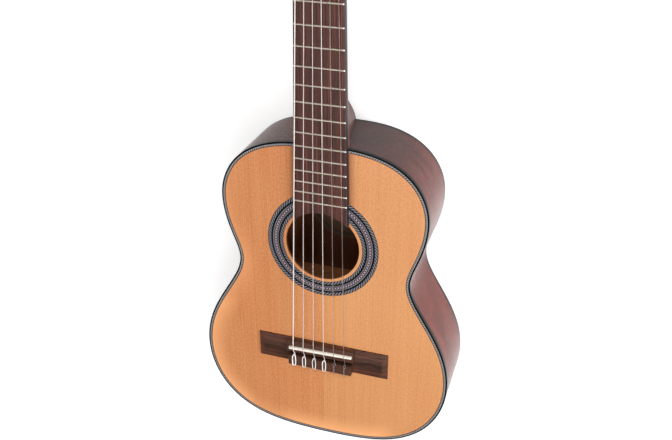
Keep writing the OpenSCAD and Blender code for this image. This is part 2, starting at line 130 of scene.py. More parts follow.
# ------------------------------------------------------------- mesh building
class Build:
    def __init__(self):
        self.v, self.f, self.uv = [], [], []

    def grid(self, rings, wrap_i=False, wrap_j=True, us=None, vs=None, cap0=False, cap1=False):
        n, m, b = len(rings), len(rings[0]), len(self.v)
        us = us or [float(i) for i in range(n + 1)]
        vs = vs or [float(j) for j in range(m + 1)]
        for r in rings:
            self.v.extend(r)
        for i in range(n if wrap_i else n - 1):
            for j in range(m if wrap_j else m - 1):
                i2, j2 = (i + 1) % n, (j + 1) % m
                self.f.append((b + i * m + j, b + i2 * m + j, b + i2 * m + j2, b + i * m + j2))
                self.uv.append(((us[i], vs[j]), (us[i + 1], vs[j]), (us[i + 1], vs[j + 1]), (us[i], vs[j + 1])))
        if cap0:
            self.f.append(tuple(b + j for j in range(m)))
            self.uv.append(tuple((us[0], vs[j]) for j in range(m)))
        if cap1:
            self.f.append(tuple(b + (n - 1) * m + j for j in range(m)))
            self.uv.append(tuple((us[n - 1], vs[j]) for j in range(m)))
        return self

    def fill(self, loops):
        """Flat face between closed loops of points, holes left open."""
        bm = bmesh.new()
        edges, index = [], {}
        b = len(self.v)
        for loop in loops:
            vs = [bm.verts.new(p) for p in loop]
            for v in vs:
                index[v] = len(index)
            self.v.extend(loop)
            edges += [bm.edges.new((vs[i], vs[(i + 1) % len(vs)])) for i in range(len(vs))]
        bmesh.ops.triangle_fill(bm, use_beauty=True, use_dissolve=False, edges=edges)
        for f in bm.faces:
            ids = tuple(b + index[v] for v in f.verts)
            self.f.append(ids)
            self.uv.append(tuple((self.v[i][0], self.v[i][1]) for i in ids))
        bm.free()
        return self

    def done(self, name, mat, body="guitar", nodes=(), slot=None, sharp=38, merge=False):
        me = bpy.data.meshes.new(name)
        me.from_pydata([(p[0] * MM, p[1] * MM, p[2] * MM) for p in self.v], [], self.f)
        lay = me.uv_layers.new(name="flow")
        k = 0
        for face in self.uv:
            for c in face:
                lay.data[k].uv = c
                k += 1
        bm = bmesh.new()
        bm.from_mesh(me)
        if merge:
            bmesh.ops.remove_doubles(bm, verts=bm.verts, dist=1e-6)
        bmesh.ops.recalc_face_normals(bm, faces=bm.faces)
        bm.to_mesh(me)
        bm.free()
        me.materials.append(mat)
        for p in me.polygons:
            p.use_smooth = True
        me.set_sharp_from_angle(angle=math.radians(sharp))
        ob = bpy.data.objects.new(name, me)
        scene.collection.objects.link(ob)
        mod = ob.modifiers.new("normals", "WEIGHTED_NORMAL")
        mod.keep_sharp = True
        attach(ob, body)
        if nodes:
            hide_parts(*nodes)
        return ob


def quarter(r, steps=4):
    """Offsets (from side, from top) along a rounded edge of radius r."""
    return [(r * (1 - math.cos(a)), r * (1 - math.sin(a))) for a in (math.pi / 2 * k / steps for k in range(steps + 1))]


def lathe(b, prof, put, m=32, us=None):
    """Turned piece: prof is (station, radius), put maps (station, a, b) to a point."""
    rings = [[put(s, r * math.cos(2 * math.pi * j / m), r * math.sin(2 * math.pi * j / m)) for j in range(m)] for s, r in prof]
    b.grid(rings, cap0=prof[0][1] > 0, cap1=prof[-1][1] > 0)


def tube(b, pts, r, m=10, cap=True, start=0.0, ends=1.0):
    """Round tube along points, with turned frames carried along."""
    pts = [Vector(p) for p in pts]
    n = len(pts)
    tan = []
    for i in range(n):
        a = (pts[i] - pts[i - 1]).normalized() if i else None
        c = (pts[i + 1] - pts[i]).normalized() if i < n - 1 else None
        tan.append((a + c).normalized() if a and c else (a or c))
    ref = Vector((1, 0, 0)) if abs(tan[0].x) < 0.9 else Vector((0, 0, 1))
    nor = (ref - tan[0] * ref.dot(tan[0])).normalized()
    rings, us, length = [], [], start
    for i in range(n):
        if i:
            length += (pts[i] - pts[i - 1]).length
            nor = (nor - tan[i] * nor.dot(tan[i])).normalized()
        bi = tan[i].cross(nor)
        k = r * (ends if i in (0, n - 1) else 1.0)
        rings.append([tuple(pts[i] + k * (math.cos(2 * math.pi * j / m) * nor + math.sin(2 * math.pi * j / m) * bi)) for j in range(m)])
        us.append(length)
    us.append(length)
    b.grid(rings, us=us, vs=[j / m for j in range(m + 1)], cap0=cap, cap1=cap)
    return length


def curve(pts, per=8):
    """Catmull-Rom points through pts."""
    p = [Vector(q) for q in pts]
    p = [2 * p[0] - p[1]] + p + [2 * p[-1] - p[-2]]
    out = []
    for i in range(1, len(p) - 2):
        for k in range(per):
            t = k / per
            a, c, d, e = p[i - 1], p[i], p[i + 1], p[i + 2]
            out.append(0.5 * (2 * c + (d - a) * t + (2 * a - 5 * c + 4 * d - e) * t * t + (3 * c - a - 3 * d + e) * t ** 3))
    out.append(p[-2])
    return out


def inset(loop, d):
    """Closed polygon moved to its left by d."""
    n, out = len(loop), []
    for i in range(n):
        p, q, r = Vector(loop[i - 1]), Vector(loop[i]), Vector(loop[(i + 1) % n])
        e, f = (q - p).normalized(), (r - q).normalized()
        a, c = Vector((-e.y, e.x)), Vector((-f.y, f.x))
        s = a + c
        out.append(tuple(q + s * (d / max(0.35, 1 + a.dot(c)))))
    return out


def rounded(pts, times=3):
    """Closed polygon with its corners cut smooth."""
    for _ in range(times):
        out = []
        for i in range(len(pts)):
            p, q = Vector(pts[i]), Vector(pts[(i + 1) % len(pts)])
            out += [tuple(p * 0.75 + q * 0.25), tuple(p * 0.25 + q * 0.75)]
        pts = out
    return pts


# ----------------------------------------------------------------- materials
def lin(r, g, b):
    return tuple((c / 255 / 12.92) if c <= 10 else ((c / 255 + 0.055) / 1.055) ** 2.4 for c in (r, g, b))


class Tree:
    def __init__(self, name, rough=0.5, metal=0.0, **more):
        self.mat = bpy.data.materials.new(name)
        self.mat.use_nodes = True
        self.t = self.mat.node_tree
        self.t.nodes.clear()
        self.bsdf = self.t.nodes.new("ShaderNodeBsdfPrincipled")
        out = self.t.nodes.new("ShaderNodeOutputMaterial")
        self.t.links.new(self.bsdf.outputs[0], out.inputs[0])
        self.put(self.bsdf.inputs["Roughness"], rough)
        self.put(self.bsdf.inputs["Metallic"], metal)
        for k, v in more.items():
            self.set(k, v)

    def put(self, sock, v):
        if isinstance(v, bpy.types.NodeSocket):
            self.t.links.new(v, sock)
        elif sock.type == "RGBA" and len(v) == 3:
            sock.default_value = (*v, 1)
        else:
            sock.default_value = v

    def set(self, key, v):
        self.put(self.bsdf.inputs[key.replace("_", " ")], v)

    def node(self, kind, *ins, **attrs):
        n = self.t.nodes.new("ShaderNode" + kind)
        for k, v in attrs.items():
            setattr(n, k, v)
        for i, v in enumerate(ins):
            if v is not None:
                self.put(n.inputs[i], v)
        return n

    def m(self, op, a, b=None, c=None):
        return self.node("Math", a, b, c, operation=op).outputs[0]

    def add(self, a, b):
        return self.m("ADD", a, b)

    def mul(self, a, b):
        return self.m("MULTIPLY", a, b)

    def vec(self, x, y, z=0.0):
        return self.node("CombineXYZ", x, y, z).outputs[0]

    def mm(self):
        """The object's own coordinates in millimetres."""
        c = self.node("TexCoord").outputs["Object"]
        v = self.node("VectorMath", c, (1000.0,) * 3, operation="MULTIPLY").outputs[0]
        s = self.node("SeparateXYZ", v)
        return s.outputs[0], s.outputs[1], s.outputs[2]

    def flow(self):
        s = self.node("SeparateXYZ", self.node("TexCoord").outputs["UV"])
        return s.outputs[0], s.outputs[1]

    def noise(self, v, scale=1.0, detail=2.0, rough=0.5, warp=0.0):
        n = self.node("TexNoise", v)
        n.inputs["Scale"].default_value = scale
        n.inputs["Detail"].default_value = detail
        n.inputs["Roughness"].default_value = rough
        n.inputs["Distortion"].default_value = warp
        return n.outputs[0]

    def span(self, v, a, b, c=0.0, d=1.0, soft=False):
        n = self.node("MapRange", v, a, b, c, d)
        n.interpolation_type = "SMOOTHSTEP" if soft else "LINEAR"
        return n.outputs[0]

    def mix(self, f, a, b, how="MIX"):
        n = self.t.nodes.new("ShaderNodeMix")
        n.data_type = "RGBA"
        n.blend_type = how
        for i, v in ((0, f), (6, a), (7, b)):
            self.put(n.inputs[i], v)
        return n.outputs[2]

    def ramp(self, f, *stops):
        n = self.node("ValToRGB", f)
        e = n.color_ramp.elements
        while len(e) < len(stops):
            e.new(0.5)
        for k, (pos, col) in zip(e, stops):
            k.position, k.color = pos, (*col, 1)
        return n.outputs[0]

    def bump(self, h, dist, strength=1.0, under=None):
        n = self.t.nodes.new("ShaderNodeBump")
        n.inputs["Strength"].default_value = strength
        n.inputs["Distance"].default_value = dist * MM
        self.put(n.inputs["Height"], h)
        if under is not None:
            self.put(n.inputs["Normal"], under)
        return n.outputs[0]


def cedar():
    t = Tree("cedar", 0.38, Coat_Weight=0.12, Coat_Roughness=0.25)
    x, y, z = t.mm()
    edge, turn = t.flow()
    ax = t.m("ABSOLUTE", x)
    wander = t.noise(t.vec(t.mul(ax, 0.011), t.mul(y, 0.007)), detail=2)
    g = t.add(ax, t.mul(wander, 5.0))
    year = t.noise(t.vec(t.mul(g, 0.22), 7.0), detail=1)
    wave = t.m("SINE", t.add(t.mul(g, 2.7), t.mul(year, 11.0)))
    late = t.m("POWER", t.span(wave, -1, 1), 3.0)
    streak = t.noise(t.vec(t.mul(g, 0.10), t.mul(y, 0.003), 3.0), detail=5, rough=0.72)
    line = t.noise(t.vec(t.mul(x, 0.55), t.mul(y, 0.0015), 21.0), detail=1, rough=0.5)
    broad = t.noise(t.vec(t.mul(x, 0.02), t.mul(y, 0.006), 11.0), detail=2)
    silk = t.noise(t.vec(t.mul(x, 0.55), t.mul(y, 0.38), 5.0), detail=3, rough=0.75)
    c = t.mix(t.span(streak, 0.32, 0.70), lin(223, 146, 92), lin(206, 127, 76))
    c = t.mix(t.span(broad, 0.40, 0.7, 0, 0.55), c, lin(226, 160, 104))
    c = t.mix(t.span(line, 0.55, 0.72, 0, 0.5), c, lin(190, 110, 64))
    c = t.mix(t.mul(late, 0.27), c, lin(178, 106, 60))
    c = t.mix(t.span(silk, 0.42, 0.66, 0, 0.34), c, lin(246, 182, 126))
    c = t.mix(t.span(silk, 0.50, 0.34, 0, 0.28), c, lin(180, 104, 60))
    # painted sheen: the treble half of the book-matched top lighter and yellower than the bass half
    right = t.span(x, -1.0, 1.0, soft=True)
    c = t.mix(t.mul(right, 0.26), c, lin(233, 178, 120))
    seam = t.span(ax, 0.1, 0.3, 0.25, 0.0)
    c = t.mix(seam, c, lin(150, 84, 46))
    # painted light: the top lightened along the outline on the lower bass side and round the tail, standing for light
    # on its edge
    edge_light_falloff = t.m("POWER", t.span(edge, 6.0, 27.0, 1.0, 0.0), 1.4)
    left = t.span(x, -62.0, -104.0, 0.0, 1.0, soft=True)
    foot_light = t.mul(t.span(x, -75.0, -30.0, soft=True), t.span(y, -20.0, -95.0, 0.0, 1.0, soft=True))
    foot_light = t.mul(foot_light, t.span(x, 60.0, 95.0, 1.0, 0.0, soft=True))
    painted_edge_light = t.m("MAXIMUM", t.mul(left, t.span(y, 70.0, 25.0, 0.0, 1.0, soft=True)), foot_light)
    painted_edge_light = t.m("MAXIMUM", painted_edge_light, t.mul(t.span(t.add(t.mul(x, -0.75), t.mul(y, -0.35)), -30.0, 45.0, soft=True), 0.5))
    c = t.mix(t.mul(edge_light_falloff, painted_edge_light), c, lin(255, 181, 123))
    # darker towards the bass side and the neck; painted shadow of the board beside it; darker below the top face, on
    # the wall of the hole
    c = t.mix(t.mul(t.span(x, -100.0, 10.0, 0.2, 0.0), t.span(y, 60.0, 200.0, 0.55, 1.0)), c, lin(176, 96, 52))
    # painted shadow of the board on the top: a soft band beside it and a dark contact line at its edge
    beside = t.m("SUBTRACT", ax, t.m("MULTIPLY_ADD", y, -0.01917, 31.8))
    band = t.mul(t.span(beside, 1.0, 8.0, 1.0, 0.0), t.span(y, 150.0, 175.0))
    c = t.mix(t.mul(band, t.m("SUBTRACT", 0.85, t.mul(right, 0.15))), c, lin(146, 82, 45))
    c = t.mix(t.mul(t.span(beside, 0.4, 1.6, 0.75, 0.0), t.span(y, 150.0, 175.0)), c, lin(70, 42, 30))
    c = t.mix(t.span(z, 77.0, 77.5, 0.85, 0.0), c, lin(92, 48, 27))
    t.set("Base_Color", c)
    t.set("Roughness", t.span(silk, 0.2, 0.8, 0.33, 0.45))
    t.set("Normal", t.bump(t.add(t.mul(late, 0.5), t.mul(silk, 0.5)), 0.03, 0.5))
    return t.mat


def mahogany(name, flow, dark=1.0, rough=0.34, coat=0.25, tone=(138, 66, 55), deep=(88, 40, 35), spec=0.2, sheen=0.0, inside=False):
    """Brown wood with ribbon stripes and open pores; flow picks the bent or the straight grain."""
    t = Tree(name, rough, Coat_Weight=coat, Coat_Roughness=0.16, Specular_IOR_Level=spec, Sheen_Weight=sheen, Sheen_Roughness=0.24, Sheen_Tint=(1.0, 0.965, 0.955))
    if flow:
        u, v = t.flow()
        raw = t.span(v, 150.0, 160.0)
    else:
        x, u, z = t.mm()
        raw = t.span(z, 1.2, 1.6)
        v = t.add(x, t.mul(z, 0.8))
    wander = t.noise(t.vec(t.mul(u, 0.006), t.mul(v, 0.02)), detail=2)
    g = t.add(v, t.mul(wander, 14.0))
    ribbon = t.noise(t.vec(t.mul(u, 0.014), t.mul(g, 0.09), 2.0), detail=3, rough=0.6)
    fine = t.noise(t.vec(t.mul(u, 0.03), t.mul(g, 1.4), 4.0), detail=2)
    pore = t.noise(t.vec(t.mul(u, 0.22), t.mul(g, 4.6), 8.0), detail=1)
    cloud = t.noise(t.vec(t.mul(u, 0.03), t.mul(v, 0.05), 6.0), detail=3, rough=0.6)
    c = t.mix(t.span(ribbon, 0.22, 0.78), lin(*[k * dark for k in tone]), lin(*[k * dark for k in deep]))
    c = t.mix(t.span(fine, 0.35, 0.75, 0, 0.35), c, lin(*[k * dark * 1.15 for k in tone]))
    c = t.mix(t.span(cloud, 0.42, 0.68, 0, 0.5), c, lin(*[k * dark * 0.8 for k in deep]))
    if flow:
        # painted shade: the ribs darkened towards the neck joint, a warmer shade on the bass side
        mid = ARC[NL] / 2
        near = t.span(t.m("SUBTRACT", mid, t.m("ABSOLUTE", t.m("SUBTRACT", u, mid))), 40.0, 150.0, 0.8, 0.0, soft=True)
        heel_shade_treble = t.mix(t.span(ribbon, 0.35, 0.65), lin(48, 22, 18), lin(28, 13, 11))
        heel_shade_bass = t.mix(t.span(ribbon, 0.35, 0.65), lin(92, 54, 32), lin(52, 29, 17))
        c = t.mix(near, c, t.mix(t.span(t.mm()[0], -12.0, 12.0), heel_shade_bass, heel_shade_treble))
    hole = t.span(pore, 0.56, 0.66)
    c = t.mix(t.mul(hole, 0.75), c, lin(24, 12, 10))
    if inside:
        bare_and_painted_light = t.mix(t.span(ribbon, 0.3, 0.7), lin(77, 42, 25), lin(61, 33, 19))
        if not flow:
            # painted pool of light on the inside of the back, on the bass side, where light through the hole falls
            bare_and_painted_light = t.mix(t.span(x, -44.0, -68.0, 0.0, 0.95, soft=True), bare_and_painted_light, lin(172, 108, 68))
        c = t.mix(t.mul(raw, 0.85), c, bare_and_painted_light)
    t.set("Base_Color", c)
    t.set("Roughness", t.span(fine, 0.2, 0.8, rough - 0.05, rough + 0.08))
    t.set("Normal", t.bump(t.m("SUBTRACT", fine, hole), 0.08, 0.5))
    return t.mat


FB_TONES = ((36, 23, 23), (104, 59, 49), (56, 36, 33), (124, 72, 58))
BR_TONES = ((36, 21, 16), (108, 66, 48), (54, 32, 24), (136, 86, 62))


def rosewood(name, along_x=False, rough=0.46, light=1.0, coat=0.0, tones=FB_TONES, wide=0.30, spec=0.35, dark_sides_and_reflection=False, flat=False):
    t = Tree(name, rough, Coat_Weight=coat, Coat_Roughness=0.2, Specular_IOR_Level=spec)
    x, y, z = t.mm()
    u, v = (x, y) if along_x else (y, x)
    v = t.add(v, t.mul(z, 0.7))
    wander = t.noise(t.vec(t.mul(u, 0.008), t.mul(v, 0.03)), detail=2)
    g = t.add(v, t.mul(wander, 7.0))
    if flat:
        g = t.add(g, t.mul(t.noise(t.vec(t.mul(u, 0.05), t.mul(v, 0.06), 4.0), detail=2), 9.0))
    band = t.noise(t.vec(t.mul(u, 0.0035), t.mul(g, wide), 1.0), detail=3, rough=0.62)
    fine = t.noise(t.vec(t.mul(u, 0.012), t.mul(g, 1.3), 9.0), detail=2)
    pore = t.noise(t.vec(t.mul(u, 0.12), t.mul(g, 3.2), 5.0), detail=1)
    shade = [lin(*[k * light for k in c]) for c in tones]
    c = t.ramp(band, (0.32, shade[0]), (0.45, shade[1]), (0.54, shade[2]), (0.66, shade[3]))
    c = t.mix(t.span(fine, 0.4, 0.75, 0, 0.3), c, lin(*[k * light * 1.2 for k in tones[0]]))
    hole = t.span(pore, 0.60, 0.68)
    c = t.mix(t.mul(hole, 0.7), c, lin(26, 15, 14))
    if dark_sides_and_reflection:
        # the board's edge faces dyed near black, then lightened to blue grey as a painted reflection
        face = t.node("SeparateXYZ", t.node("NewGeometry").outputs["Normal"]).outputs[0]
        c = t.mix(t.span(t.m("ABSOLUTE", face), 0.45, 0.75), c, lin(42, 43, 49))
    if flat:
        # painted shade and light by height: the wings' plateau darkened against their bevels, the saddle rest and tie
        # block lightened again
        c = t.mix(t.span(z, 81.2, 82.0, 0.0, 0.45), c, lin(34, 21, 17))
        c = t.mix(t.span(z, 82.4, 83.0, 0.0, 0.45), c, lin(96, 60, 44))
        # painted highlight on the bevelled outer ends of the wings
        ends = t.span(t.m("ABSOLUTE", x), 68.4, 69.4, 0.0, 0.22)
        c = t.mix(ends, c, lin(112, 74, 58))
        # painted shade in the channel between the saddle rest and the tie block
        painted_channel_shade = t.mul(t.span(y, -10.4, -10.8), t.span(y, -15.0, -14.7))
        painted_channel_shade = t.mul(t.mul(painted_channel_shade, t.span(z, 83.2, 84.2, 1.0, 0.0)), t.span(t.m("ABSOLUTE", t.m("SUBTRACT", x, STR_X)), 36.4, 37.4, 1.0, 0.0))
        c = t.mix(t.mul(painted_channel_shade, 0.9), c, lin(8, 5, 4))
    t.set("Base_Color", c)
    t.set("Roughness", t.span(fine, 0.2, 0.8, rough - 0.06, rough + 0.10))
    t.set("Normal", t.bump(t.m("SUBTRACT", t.mul(fine, 0.5), hole), 0.06, 0.5))
    return t.mat


def pale_wood(name, a, b, along):
    t = Tree(name, 0.62)
    x, y, z = t.mm()
    u, v = {"x": (x, t.add(y, z)), "y": (y, t.add(x, z)), "z": (z, t.add(x, y))}[along]
    line = t.noise(t.vec(t.mul(u, 0.01), t.mul(v, 0.8)), detail=3, rough=0.6)
    fuzz = t.noise(t.vec(t.mul(u, 0.4), t.mul(v, 2.0), 3.0), detail=2)
    c = t.mix(t.span(line, 0.3, 0.7), lin(*a), lin(*b))
    c = t.mix(t.span(fuzz, 0.5, 0.8, 0, 0.3), c, lin(*[k * 0.7 for k in b]))
    t.set("Base_Color", c)
    t.set("Normal", t.bump(fuzz, 0.08, 0.4))
    return t.mat


def black_edge():
    t = Tree("black_binding", 0.34, Specular_IOR_Level=0.1, Sheen_Weight=0.9, Sheen_Roughness=0.3)
    x, y, z = t.mm()
    n = t.noise(t.vec(x, y, z), scale=0.6, detail=3)
    t.set("Base_Color", t.mix(n, lin(5, 5, 6), lin(11, 11, 13)))
    t.set("Roughness", t.span(n, 0.3, 0.7, 0.28, 0.4))
    t.set("Normal", t.bump(n, 0.02, 0.3))
    return t.mat


def stripes(t, u, v, period, slope, duty, soft=0.12):
    """1 on the dark threads of a rope inlay."""
    s = t.m("FRACT", t.m("DIVIDE", t.add(u, t.mul(v, slope)), period))
    tri = t.m("ABSOLUTE", t.m("SUBTRACT", s, 0.5))
    return t.span(tri, duty / 2 - soft / 2, duty / 2 + soft / 2, 1.0, 0.0)


def rope():
    t = Tree("rope_purfling", 0.36, Specular_IOR_Level=0.15)
    u, v = t.flow()
    dark = stripes(t, u, v, 2.8, 1.1, 0.5)
    n = t.noise(t.vec(t.mul(u, 0.7), t.mul(v, 2.0)), detail=2)
    pale = t.mix(n, lin(178, 178, 180), lin(152, 151, 154))
    c = t.mix(t.mul(dark, 0.95), pale, lin(30, 30, 33))
    # black and pale lines beside the binding, dark line and a sliver of the top inside
    c = t.mix(t.span(v, 0.85, 0.95, 1.0, 0.0), c, lin(182, 182, 184))
    c = t.mix(t.span(v, 0.55, 0.65, 1.0, 0.0), c, lin(6, 6, 8))
    c = t.mix(t.span(v, 2.25, 2.35), c, lin(34, 27, 25))
    c = t.mix(t.span(v, 2.85, 2.95), c, lin(206, 132, 82))
    t.set("Base_Color", c)
    return t.mat


def mosaic():
    """Rings of the rosette: rope, black line, inlaid chain, black line, rope."""
    t = Tree("rosette_inlay", 0.36, Specular_IOR_Level=0.15)
    x, y, z = t.mm()
    dy = t.m("SUBTRACT", y, HOLE_Y)
    r = t.m("SQRT", t.add(t.mul(x, x), t.mul(dy, dy)))
    ang = t.m("ARCTAN2", dy, x)
    n = t.noise(t.vec(x, y, 0.0), scale=1.3, detail=2)
    grey = t.mix(n, lin(148, 148, 155), lin(122, 122, 129))
    # ropes: leaning threads, 100 round the outer ring and 78 round the inner one
    s1 = stripes(t, t.mul(ang, 100 / (2 * math.pi)), r, 1.0, 0.32, 0.5)
    s0 = stripes(t, t.mul(ang, 78 / (2 * math.pi)), r, 1.0, 0.32, 0.52)
    ropes = t.m("ADD", t.mul(t.m("GREATER_THAN", r, 51.75), s1), t.mul(t.m("LESS_THAN", r, 51.75), s0))
    rope_c = t.mix(t.mul(ropes, 0.97), grey, lin(14, 14, 17))
    # chain of pale diamonds between rows of dark squares, 100 round the ring
    a = t.m("ABSOLUTE", t.m("SUBTRACT", t.m("FRACT", t.mul(ang, 100 / (2 * math.pi))), 0.5))
    w = t.mul(a, 3.25)
    q = t.m("ABSOLUTE", t.m("SUBTRACT", r, 51.75))
    c = t.mix(n, lin(142, 137, 144), lin(116, 112, 120))
    rose = t.span(t.add(w, q), 0.8, 1.0, 1.0, 0.0)
    c = t.mix(rose, c, lin(206, 174, 183))
    for sw, sq, big in ((1.62, 0.0, 0.95), (0.0, 1.7, 0.85), (1.62, 1.7, 0.55)):
        dw = t.m("ABSOLUTE", t.m("SUBTRACT", w, sw))
        dq = t.m("ABSOLUTE", t.m("SUBTRACT", q, sq))
        c = t.mix(t.span(t.add(dw, dq), big, big + 0.15, 1.0, 0.0), c, lin(7, 6, 8))
    black = lin(4, 4, 5)
    out = t.mix(t.m("LESS_THAN", q, 3.4), rope_c, c)
    for lo, hi in ((46.9, 48.9), (54.8, 56.8), (60.1, 61.2), (43.0, 43.7)):
        band = t.mul(t.span(r, lo - 0.06, lo + 0.06), t.span(r, hi - 0.06, hi + 0.06, 1.0, 0.0))
        out = t.mix(band, out, black)
    t.set("Base_Color", out)
    t.set("Roughness", t.span(n, 0.3, 0.7, 0.28, 0.40))
    return t.mat


def bone(name="bone", a=(255, 250, 238), b=(250, 243, 227)):
    t = Tree(name, 0.32, Subsurface_Weight=0.12, Subsurface_Scale=0.001)
    x, y, z = t.mm()
    n = t.noise(t.vec(t.mul(x, 0.08), t.mul(y, 0.6), t.mul(z, 0.6)), detail=3)
    fine = t.noise(t.vec(x, y, z), scale=2.0, detail=2)
    c = t.mix(t.span(n, 0.35, 0.7), lin(*a), lin(*b))
    t.set("Base_Color", c)
    t.set("Roughness", t.span(fine, 0.3, 0.7, 0.26, 0.4))
    t.set("Normal", t.bump(fine, 0.01, 0.3))
    return t.mat


def metal(name, a, b, rough, brushed=0.0, lo=0.8, hi=1.25, grain=0.25, solid=1.0, painted_glint_tips=False):
    t = Tree(name, rough, solid)
    x, y, z = t.mm()
    n = t.noise(t.vec(t.mul(x, 0.35), t.mul(y, 0.35), t.mul(z, 0.35)), detail=3)
    s = t.noise(t.vec(t.mul(x, 6.0), t.mul(y, 0.25), t.mul(z, 6.0)), detail=2)
    c = t.mix(t.span(n, 0.35, 0.7), lin(*a), lin(*b))
    if painted_glint_tips:
        # painted highlight: the treble ends of the frets made white and not metal, standing for the glint of light on
        # them
        painted_glint = t.span(t.add(x, t.mul(y, 0.01917)), 30.5, 30.9)
        c = t.mix(painted_glint, c, lin(255, 253, 248))
        t.set("Metallic", t.m("SUBTRACT", solid, t.mul(painted_glint, solid)))
    t.set("Base_Color", c)
    t.set("Roughness", t.span(t.add(t.mul(n, 1 - brushed), t.mul(s, brushed)), 0.3, 0.7, rough * lo, rough * hi))
    t.set("Normal", t.bump(s, 0.01, grain + 0.4 * brushed))
    return t.mat


def wound():
    """Silver wire wound close round the bass strings."""
    t = Tree("wound_string", 0.36, 0.0)
    x, y, z = t.mm()
    along = t.mul(y, 1 / SCALE)
    lane = t.m("DIVIDE", t.m("SUBTRACT", x, t.mul(t.m("SUBTRACT", 1.0, along), STR_X)), t.m("SUBTRACT", 11.8, t.mul(along, 4.52)))
    u, v = t.flow()
    turn = t.m("SINE", t.add(t.mul(u, 2 * math.pi / 0.3), t.mul(v, 2 * math.pi)))
    n = t.noise(t.vec(t.mul(u, 0.15), v), detail=2)
    c = t.mix(n, lin(252, 242, 236), lin(242, 231, 224))
    # painted shade: strings 4 and 5 dimmed along their length against the sixth
    painted_shade_strings = t.mul(t.span(lane, -2.2, -1.8), t.span(y, -12.0, -8.0))
    c = t.mix(painted_shade_strings, c, t.mix(n, lin(224, 209, 206), lin(212, 198, 194)))
    # painted highlight: the ties behind the saddle whiter than the standing strings
    c = t.mix(t.span(y, -10.0, -13.0), c, lin(255, 252, 248))
    # painted shade in the grooves between the turns of the wire
    c = t.mix(t.span(turn, -1.0, -0.3, 0.15, 0.0), c, lin(150, 145, 140))
    t.set("Base_Color", c)
    t.set("Normal", t.bump(turn, 0.02, 0.1))
    return t.mat


def nylon():
    t = Tree("nylon_string", 0.3, Transmission_Weight=0.88, IOR=1.4)
    u, v = t.flow()
    n = t.noise(t.vec(t.mul(u, 0.08), v), detail=2)
    t.set("Base_Color", t.mix(n, lin(248, 232, 229), lin(236, 219, 215)))
    t.set("Roughness", t.span(n, 0.3, 0.7, 0.3, 0.4))
    return t.mat


def white_nylon():
    t = Tree("white_nylon", 0.3)
    u, v = t.flow()
    n = t.noise(t.vec(t.mul(u, 0.08), v), detail=2)
    y = t.mm()[1]
    c = t.mix(n, lin(236, 226, 219), lin(226, 215, 208))
    # painted highlight: the ties behind the saddle whiter than the standing string
    t.set("Base_Color", t.mix(t.span(y, -8.0, -12.0), c, lin(255, 250, 244)))
    t.set("Roughness", t.span(n, 0.3, 0.7, 0.28, 0.38))
    return t.mat


def paper():
    t = Tree("label_paper", 0.8)
    x, y, z = t.mm()
    n = t.noise(t.vec(x, y, 0.0), scale=0.8, detail=4, rough=0.7)
    fibre = t.noise(t.vec(t.mul(x, 2.5), t.mul(y, 0.6), 0.0), detail=2)
    # aged brown paper, darkened further as painted shade inside the body
    c = t.mix(t.span(n, 0.3, 0.75), lin(80, 53, 28), lin(70, 46, 24))
    c = t.mix(t.span(fibre, 0.55, 0.8, 0, 0.25), c, lin(54, 35, 19))
    ex = t.m("DIVIDE", t.m("SUBTRACT", x, 6.0), 45.0)
    ey = t.m("DIVIDE", t.m("SUBTRACT", y, 133.0), 35.0)
    e = t.m("SQRT", t.add(t.mul(ex, ex), t.mul(ey, ey)))
    for at, wide in ((0.88, 0.016), (0.83, 0.008)):
        band = t.span(t.m("ABSOLUTE", t.m("SUBTRACT", e, at)), wide, wide + 0.006, 0.8, 0.0)
        c = t.mix(band, c, lin(36, 23, 14))
    t.set("Base_Color", c)
    t.set("Normal", t.bump(n, 0.05, 0.4))
    return t.mat


def pearl():
    t = Tree("pearl_button", 0.22, Coat_Weight=0.5, Coat_Roughness=0.08, Subsurface_Weight=0.15, Subsurface_Scale=0.002)
    x, y, z = t.mm()
    n = t.noise(t.vec(x, y, z), scale=0.22, detail=3, warp=1.6)
    c = t.ramp(n, (0.3, lin(214, 206, 196)), (0.5, lin(240, 234, 224)), (0.7, lin(250, 247, 240)))
    t.set("Base_Color", c)
    return t.mat


M_TOP = cedar()
M_RIB = mahogany("rib_mahogany", True, coat=0.12, sheen=1.0, spec=0.2, inside=True, tone=(158, 72, 59), deep=(106, 46, 39))
M_BACK = mahogany("back_mahogany", False, coat=0.15, spec=0.35, inside=True, tone=(124, 66, 51), deep=(80, 40, 32))
M_NECK = mahogany("neck_mahogany", False, rough=0.36, coat=0.55, spec=0.35, tone=(138, 82, 70), deep=(102, 58, 50))
M_BIND = black_edge()
M_ROPE = rope()
M_ROS = mosaic()
M_FB = rosewood("fingerboard_rosewood", wide=0.34, dark_sides_and_reflection=True, light=0.99)
M_BR = rosewood("bridge_rosewood", along_x=True, tones=BR_TONES, rough=0.42, wide=0.24, flat=True)
M_DARK = rosewood("veneer_rosewood", light=0.8, rough=0.3, coat=0.4)
M_FRET = metal("fret_nickel", (238, 229, 212), (232, 222, 204), 0.32, grain=0.0, solid=0.7, painted_glint_tips=True)
M_BONE = bone()
M_WOUND = wound()
M_NYLON = nylon()
M_WHITE = white_nylon()
M_SPRUCE_X = pale_wood("bar_spruce", (214, 170, 116), (190, 142, 90), "x")
M_SPRUCE_Y = pale_wood("fan_spruce", (220, 180, 126), (198, 152, 98), "y")
M_BLOCK = pale_wood("block_wood", (150, 100, 66), (124, 80, 52), "z")
M_LINING = pale_wood("lining_wood", (190, 144, 94), (166, 120, 76), "z")
M_BRACE = pale_wood("brace_wood", (150, 95, 52), (128, 78, 42), "x")
M_PAPER = paper()
M_PLATE = metal("plate_brass", (222, 190, 120), (212, 178, 106), 0.28, brushed=0.25, lo=0.9, hi=1.1, grain=0.0)
M_SCREW = metal("screw_steel", (206, 200, 190), (180, 174, 166), 0.3)
